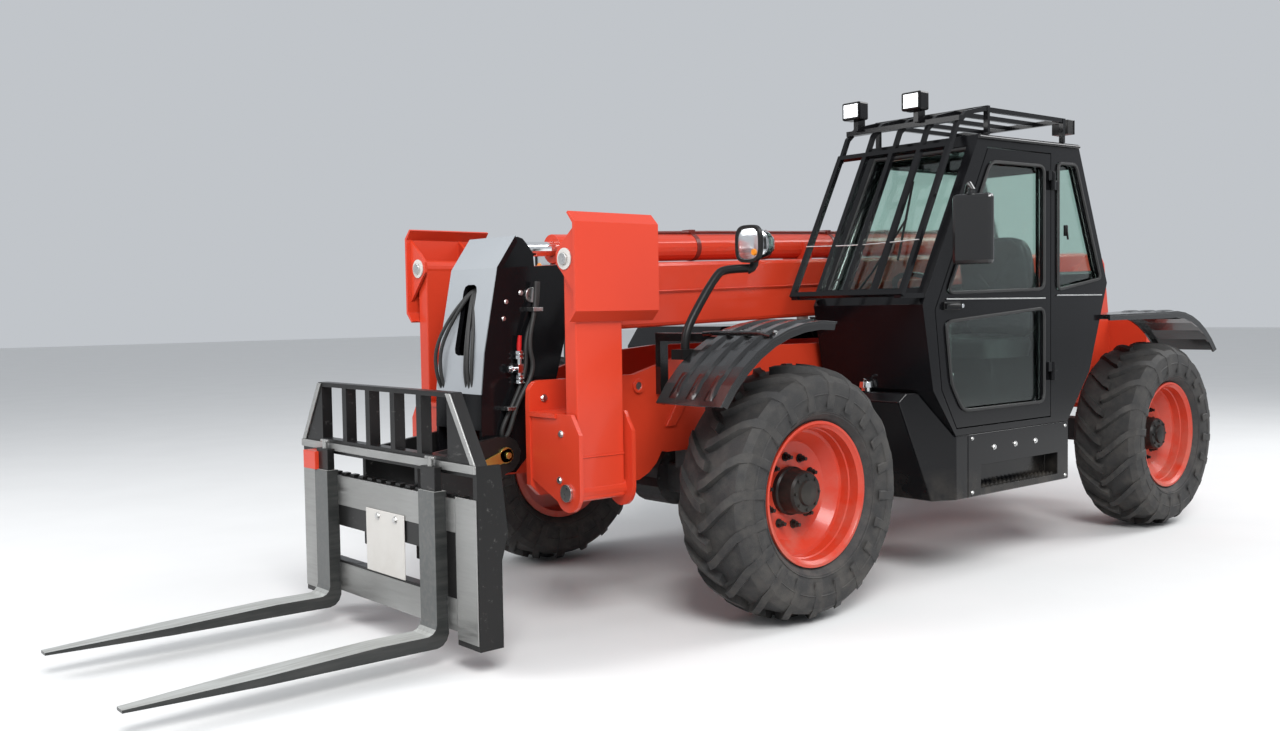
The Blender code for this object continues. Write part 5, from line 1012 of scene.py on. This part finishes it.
clips = [slab((f + 0.872, HEAD_Y, 1.425), (f + 0.925, HEAD_Y + 0.056, 1.443)),
         slab((f + 1.028, HEAD_Y, 0.985), (f + 1.075, HEAD_Y + 0.056, 1.002))]
piece("hose_clips", clips, bright, "boom_inner", edge=0.002)
ridges = [slab((f + 0.742 + i * 0.035, -0.17, 1.612),
               (f + 0.756 + i * 0.035, -0.09, 1.617)) for i in range(5)]
piece("head_grips", ridges, black, "boom_inner", edge=0.001)


# ---------------------------------------------------------------- lift and tilt cylinders
# Black barrels with screwed glands and chromed rods; each eye turns on a greased pin.
# The gland is a knurled ring and the port block is welded on the barrel with its pipe stub.
def cylinder_fittings(prefix, base, reach_share, radius, body):
    """A gland ring lathed at the barrel's mouth, and two ports with their nuts along its upper side."""
    start = np.array((base[0], 0.0, base[1]))
    eye = EYES[prefix]
    along = (eye - start) / np.linalg.norm(eye - start)
    end = start + along * np.linalg.norm(eye - start) * reach_share
    rings = [(-0.002, radius * 0.62), (-0.002, radius + 0.006), (-0.050, radius + 0.006),
             (-0.056, radius - 0.002),
             (-0.056, radius * 0.62)]
    points, faces = lathe(rings, (0, 0, 0), "X", 40)
    side = np.array((-along[2], 0, along[0]))
    gland = (points @ np.stack([along, (0, 1, 0), side]) + end, faces)
    ports = []
    for share in (0.16, 0.92):
        root = start + along * np.linalg.norm(end - start) * share + side * radius * 0.8
        ports.append(tube([root, root + side * 0.035], 0.016, 14))
        ports += bolt(root + side * 0.030, side, 0.015, 0.012)
    piece(prefix + "_gland", [gland], satin_black, body, smooth=40)
    piece(prefix + "_ports", ports, bright, body, smooth=40)


EYES = {"lift": np.array(on_boom(2.30, -0.31)), "tilt": np.array((PIVOT[0] - 0.105, 0.0, PIVOT[1] - 0.076))}
for prefix in ("lift", "tilt"):
    dress(prefix + "_barrel", satin_black, 0.002, 40)
    dress(prefix + "_rod", chrome, 0.002, 40)
cylinder_fittings("lift", (REAR_X + 0.27, 0.880), 0.90, 0.062, "lift_barrel")
cylinder_fittings("tilt", TILT_PIN, 0.69, 0.048, "tilt_barrel")


# ---------------------------------------------------------------- fork carriage
# A flame-cut black frame with a barred backrest; the long bar is worn bright where the forks' hooks slide.
# Notches lock the hooks along its top edge; bare wear plates line the cheeks, and a stop plate is bolted in
# the middle.
worn_black, tree, shader = new_material("worn_black_paint")
film = weathered(tree, 1.2, 16.0)
rub = ramp(tree, noise_at(tree, 34.0, 8.0, 0.72, (1.0, 0.25, 1.0)), 0.60, 0.68)
toned = blended(tree, film["Fade"], (0.005, 0.005, 0.0055), (0.011, 0.0105, 0.010))
tree.links.new(blended(tree, ramp(tree, rub, 0, 1, 0, 0.5), toned, (0.16, 0.155, 0.15)),
               shader.inputs["Base Color"])
tree.links.new(ramp(tree, rub, 0, 1, 0.34, 0.30), shader.inputs["Roughness"])
tree.links.new(ramp(tree, rub, 0, 1, 0.0, 0.5), shader.inputs["Metallic"])
set_inputs(shader, Specular_IOR_Level=0.3)
bumped(tree, shader, film["Peel"], 0.4, 0.0008)
bare = metal("bare_rolled_steel", (0.42, 0.42, 0.41), 0.38, 0.9, (1.0, 0.08, 1.0), (0.07, 0.060, 0.050))
dress("fork_frame", worn_black, 0.004, 30)
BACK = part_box("fork_left")[0][0]
FRAME_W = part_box("fork_frame")[1][1]
BAR_Z = 0.83
bars = [slab((BACK - 0.0005, -FRAME_W + 0.002, BAR_Z - 0.030),
             (BACK + 0.012, FRAME_W - 0.002, BAR_Z + 0.004))]
for side in (1, -1):
    lean = [(side * (FRAME_W - 0.004), BAR_Z + 0.004), (side * (FRAME_W - 0.036), BAR_Z + 0.004),
            (side * (FRAME_W - 0.036 - 0.174), 1.106), (side * (FRAME_W - 0.004 - 0.170), 1.106)]
    bars.append(panel(lean, BACK - 0.0005, BACK + 0.008, "YZ"))
piece("carriage_bar", bars, bare, "carriage", edge=0.003)
wear = []
for side in (1, -1):
    low_y, high_y = sorted((side * (FRAME_W - 0.005), side * (FRAME_W - 0.155)))
    wear.append(slab((BACK - 0.0005, low_y, 0.130), (BACK + 0.005, high_y, 0.700)))
piece("cheek_plates", wear, bare, "carriage", edge=0.002)
teeth = [slab((BACK - 0.040, y - 0.020, 0.6895), (BACK - 0.010, y + 0.020, 0.703))
         for y in np.linspace(-0.62, 0.62, 16)]
teeth += [slab((BACK - 0.045, y - 0.045, 0.298), (BACK - 0.005, y + 0.045, 0.301))
          for y in (-0.30, 0.0, 0.30)]
bar_faces = [slab((BACK - 0.0005, -FRAME_W + 0.160, low), (BACK + 0.003, FRAME_W - 0.160, high))
             for low, high in ((0.555, 0.690), (0.160, 0.290))]
piece("bar_faces", bar_faces, bare, "carriage", edge=0.001)
piece("carriage_notches", teeth, worn_black, "carriage", edge=0.002)
pale = paint("stop_plate_grey", (0.62, 0.60, 0.57), (0.52, 0.50, 0.47), 0.45, 0.1, 0.6, 0.4)
stop = [slab((BACK + 0.0032, -0.13, 0.300), (BACK + 0.0092, 0.20, 0.575))]
piece("stop_plate", stop, pale, "carriage", edge=0.003)
stop_bolts = []
for y in (-0.02, 0.13):
    stop_bolts += bolt((BACK + 0.0092, y, 0.550), (1, 0, 0), 0.012, 0.010)
piece("stop_plate_bolts", stop_bolts, bright, "carriage")
rest_block = slab((BACK - 0.0005, -0.62, 0.712), (BACK + 0.066, -0.50, 0.796))
piece("rest_block", [rest_block], orange, "carriage", edge=0.003)
EAR_Y = 0.240
lock = [(PIVOT[0], PIVOT[1]), (PIVOT[0] + 0.120, PIVOT[1] - 0.035)]
arm = np.concatenate([circle(lock[0], 0.034, 105, 285, 10), circle(lock[1], 0.024, -75, 105, 10)])
lock_pin = tube([(lock[0][0], EAR_Y, lock[0][1]), (lock[0][0], EAR_Y + 0.030, lock[0][1])], 0.015, 20)
piece("lock_lever", [panel(arm, EAR_Y + 0.0005, EAR_Y + 0.012), lock_pin], zinc, "carriage", edge=0.002,
      smooth=30)


# ---------------------------------------------------------------- forks
# Two forged forks with tapered blades hang from the bar on welded hooks, with a spring pin on top of each.
# They are bare drawn steel: bright along the blade's top, scaled and dark on the flanks.
fork_steel, tree, shader = new_material("forged_fork_steel")
normal = tree.nodes.new("ShaderNodeNewGeometry")
facing = tree.nodes.new("ShaderNodeSeparateXYZ")
tree.links.new(normal.outputs["True Normal"], facing.inputs["Vector"])
top = ramp(tree, facing.outputs["Z"], 0.3, 0.9)
streak = noise_at(tree, 45.0, 6.0, 0.65, (0.08, 1.0, 1.0))
scale_mask = ramp(tree, streak, 0.42, 0.66)
front = ramp(tree, facing.outputs["X"], 0.5, 0.95)
flank = blended(tree, scale_mask, (0.028, 0.030, 0.029), (0.050, 0.050, 0.048))
shank = blended(tree, scale_mask, (0.105, 0.110, 0.108), (0.150, 0.150, 0.146))
bright_top = blended(tree, scale_mask, (0.52, 0.53, 0.51), (0.38, 0.38, 0.36))
tree.links.new(blended(tree, top, blended(tree, front, flank, shank), bright_top),
               shader.inputs["Base Color"])
set_inputs(shader, Metallic=0.35)
tree.links.new(ramp(tree, streak, 0.3, 0.7, 0.34, 0.55), shader.inputs["Roughness"])
bumped(tree, shader, streak, 0.25, 0.0008)
for hand, side in (("left", 1), ("right", -1)):
    dress("fork_" + hand, fork_steel, 0.004, 30)
    y = sum(c[1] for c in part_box("fork_" + hand)) / 2
    face = BACK + 0.055
    hook = [slab((BACK + 0.013, y - 0.055, 0.700), (face - 0.008, y + 0.055, 0.812)),
            tube([(face - 0.024, y, 0.800), (face - 0.024, y, 0.852)], 0.012, 16),
            tube([(face - 0.024, y - 0.035, 0.846), (face - 0.024, y + 0.035, 0.846)], 0.007, 12)]
    piece("fork_hook_" + hand, hook[:1], worn_black, "carriage", edge=0.003, smooth=40)
    piece("hook_pin_" + hand, hook[1:], bare, "carriage", edge=0.002, smooth=40)


# ---------------------------------------------------------------- stabilisers
# Each leg is a folded box on a pin through two bracket plates, folded upright for the road.
# The foot is a pressed pan with two ears on a pin, kept by a washer and split pin.
for hand, side in (("left", 1), ("right", -1)):
    dress("stabiliser_leg_" + hand, orange, 0.006, 30)
    dress("stabiliser_foot_" + hand, orange, 0.005, 25)
    x = f + 0.865
    ear = 0.1275 + 0.008
    washers, sleeves = [], []
    for end in (1, -1):
        out = x + end * (ear + 0.014)
        washers.append(tube([(out, side * 0.600, 1.645), (out + end * 0.006, side * 0.600, 1.645)], 0.046,
                            28))
        sleeve = [(out + end * reach, side * 0.600, 1.645) for reach in (0.005, 0.016)]
        sleeves.append(tube(sleeve, 0.026, 24))
    piece("foot_washers_" + hand, washers, pale, "foot_" + hand, edge=0.001)
    piece("foot_pins_" + hand, sleeves, bright, "foot_" + hand, edge=0.002)
    hinge = []
    for end in (1, -1):
        out = x + end * (ear + 0.020)
        hinge.append(tube([(out, side * 0.600, 0.650), (out + end * 0.012, side * 0.600, 0.650)], 0.038, 24))
        hinge += bolt((out, side * 0.545, 0.700), (end, 0, 0), 0.012, 0.009)
        hinge += bolt((out, side * 0.560, 0.900), (end, 0, 0), 0.012, 0.009)
    piece("leg_pins_" + hand, hinge, bright, "chassis", edge=0.001)
    weld = [tube([(x - 0.126, side * 0.641, z), (x + 0.126, side * 0.641, z)], 0.004, 8) for z in (0.80,
                                                                                                   1.50)]
    piece("leg_welds_" + hand, weld, orange, "leg_" + hand, smooth=60)
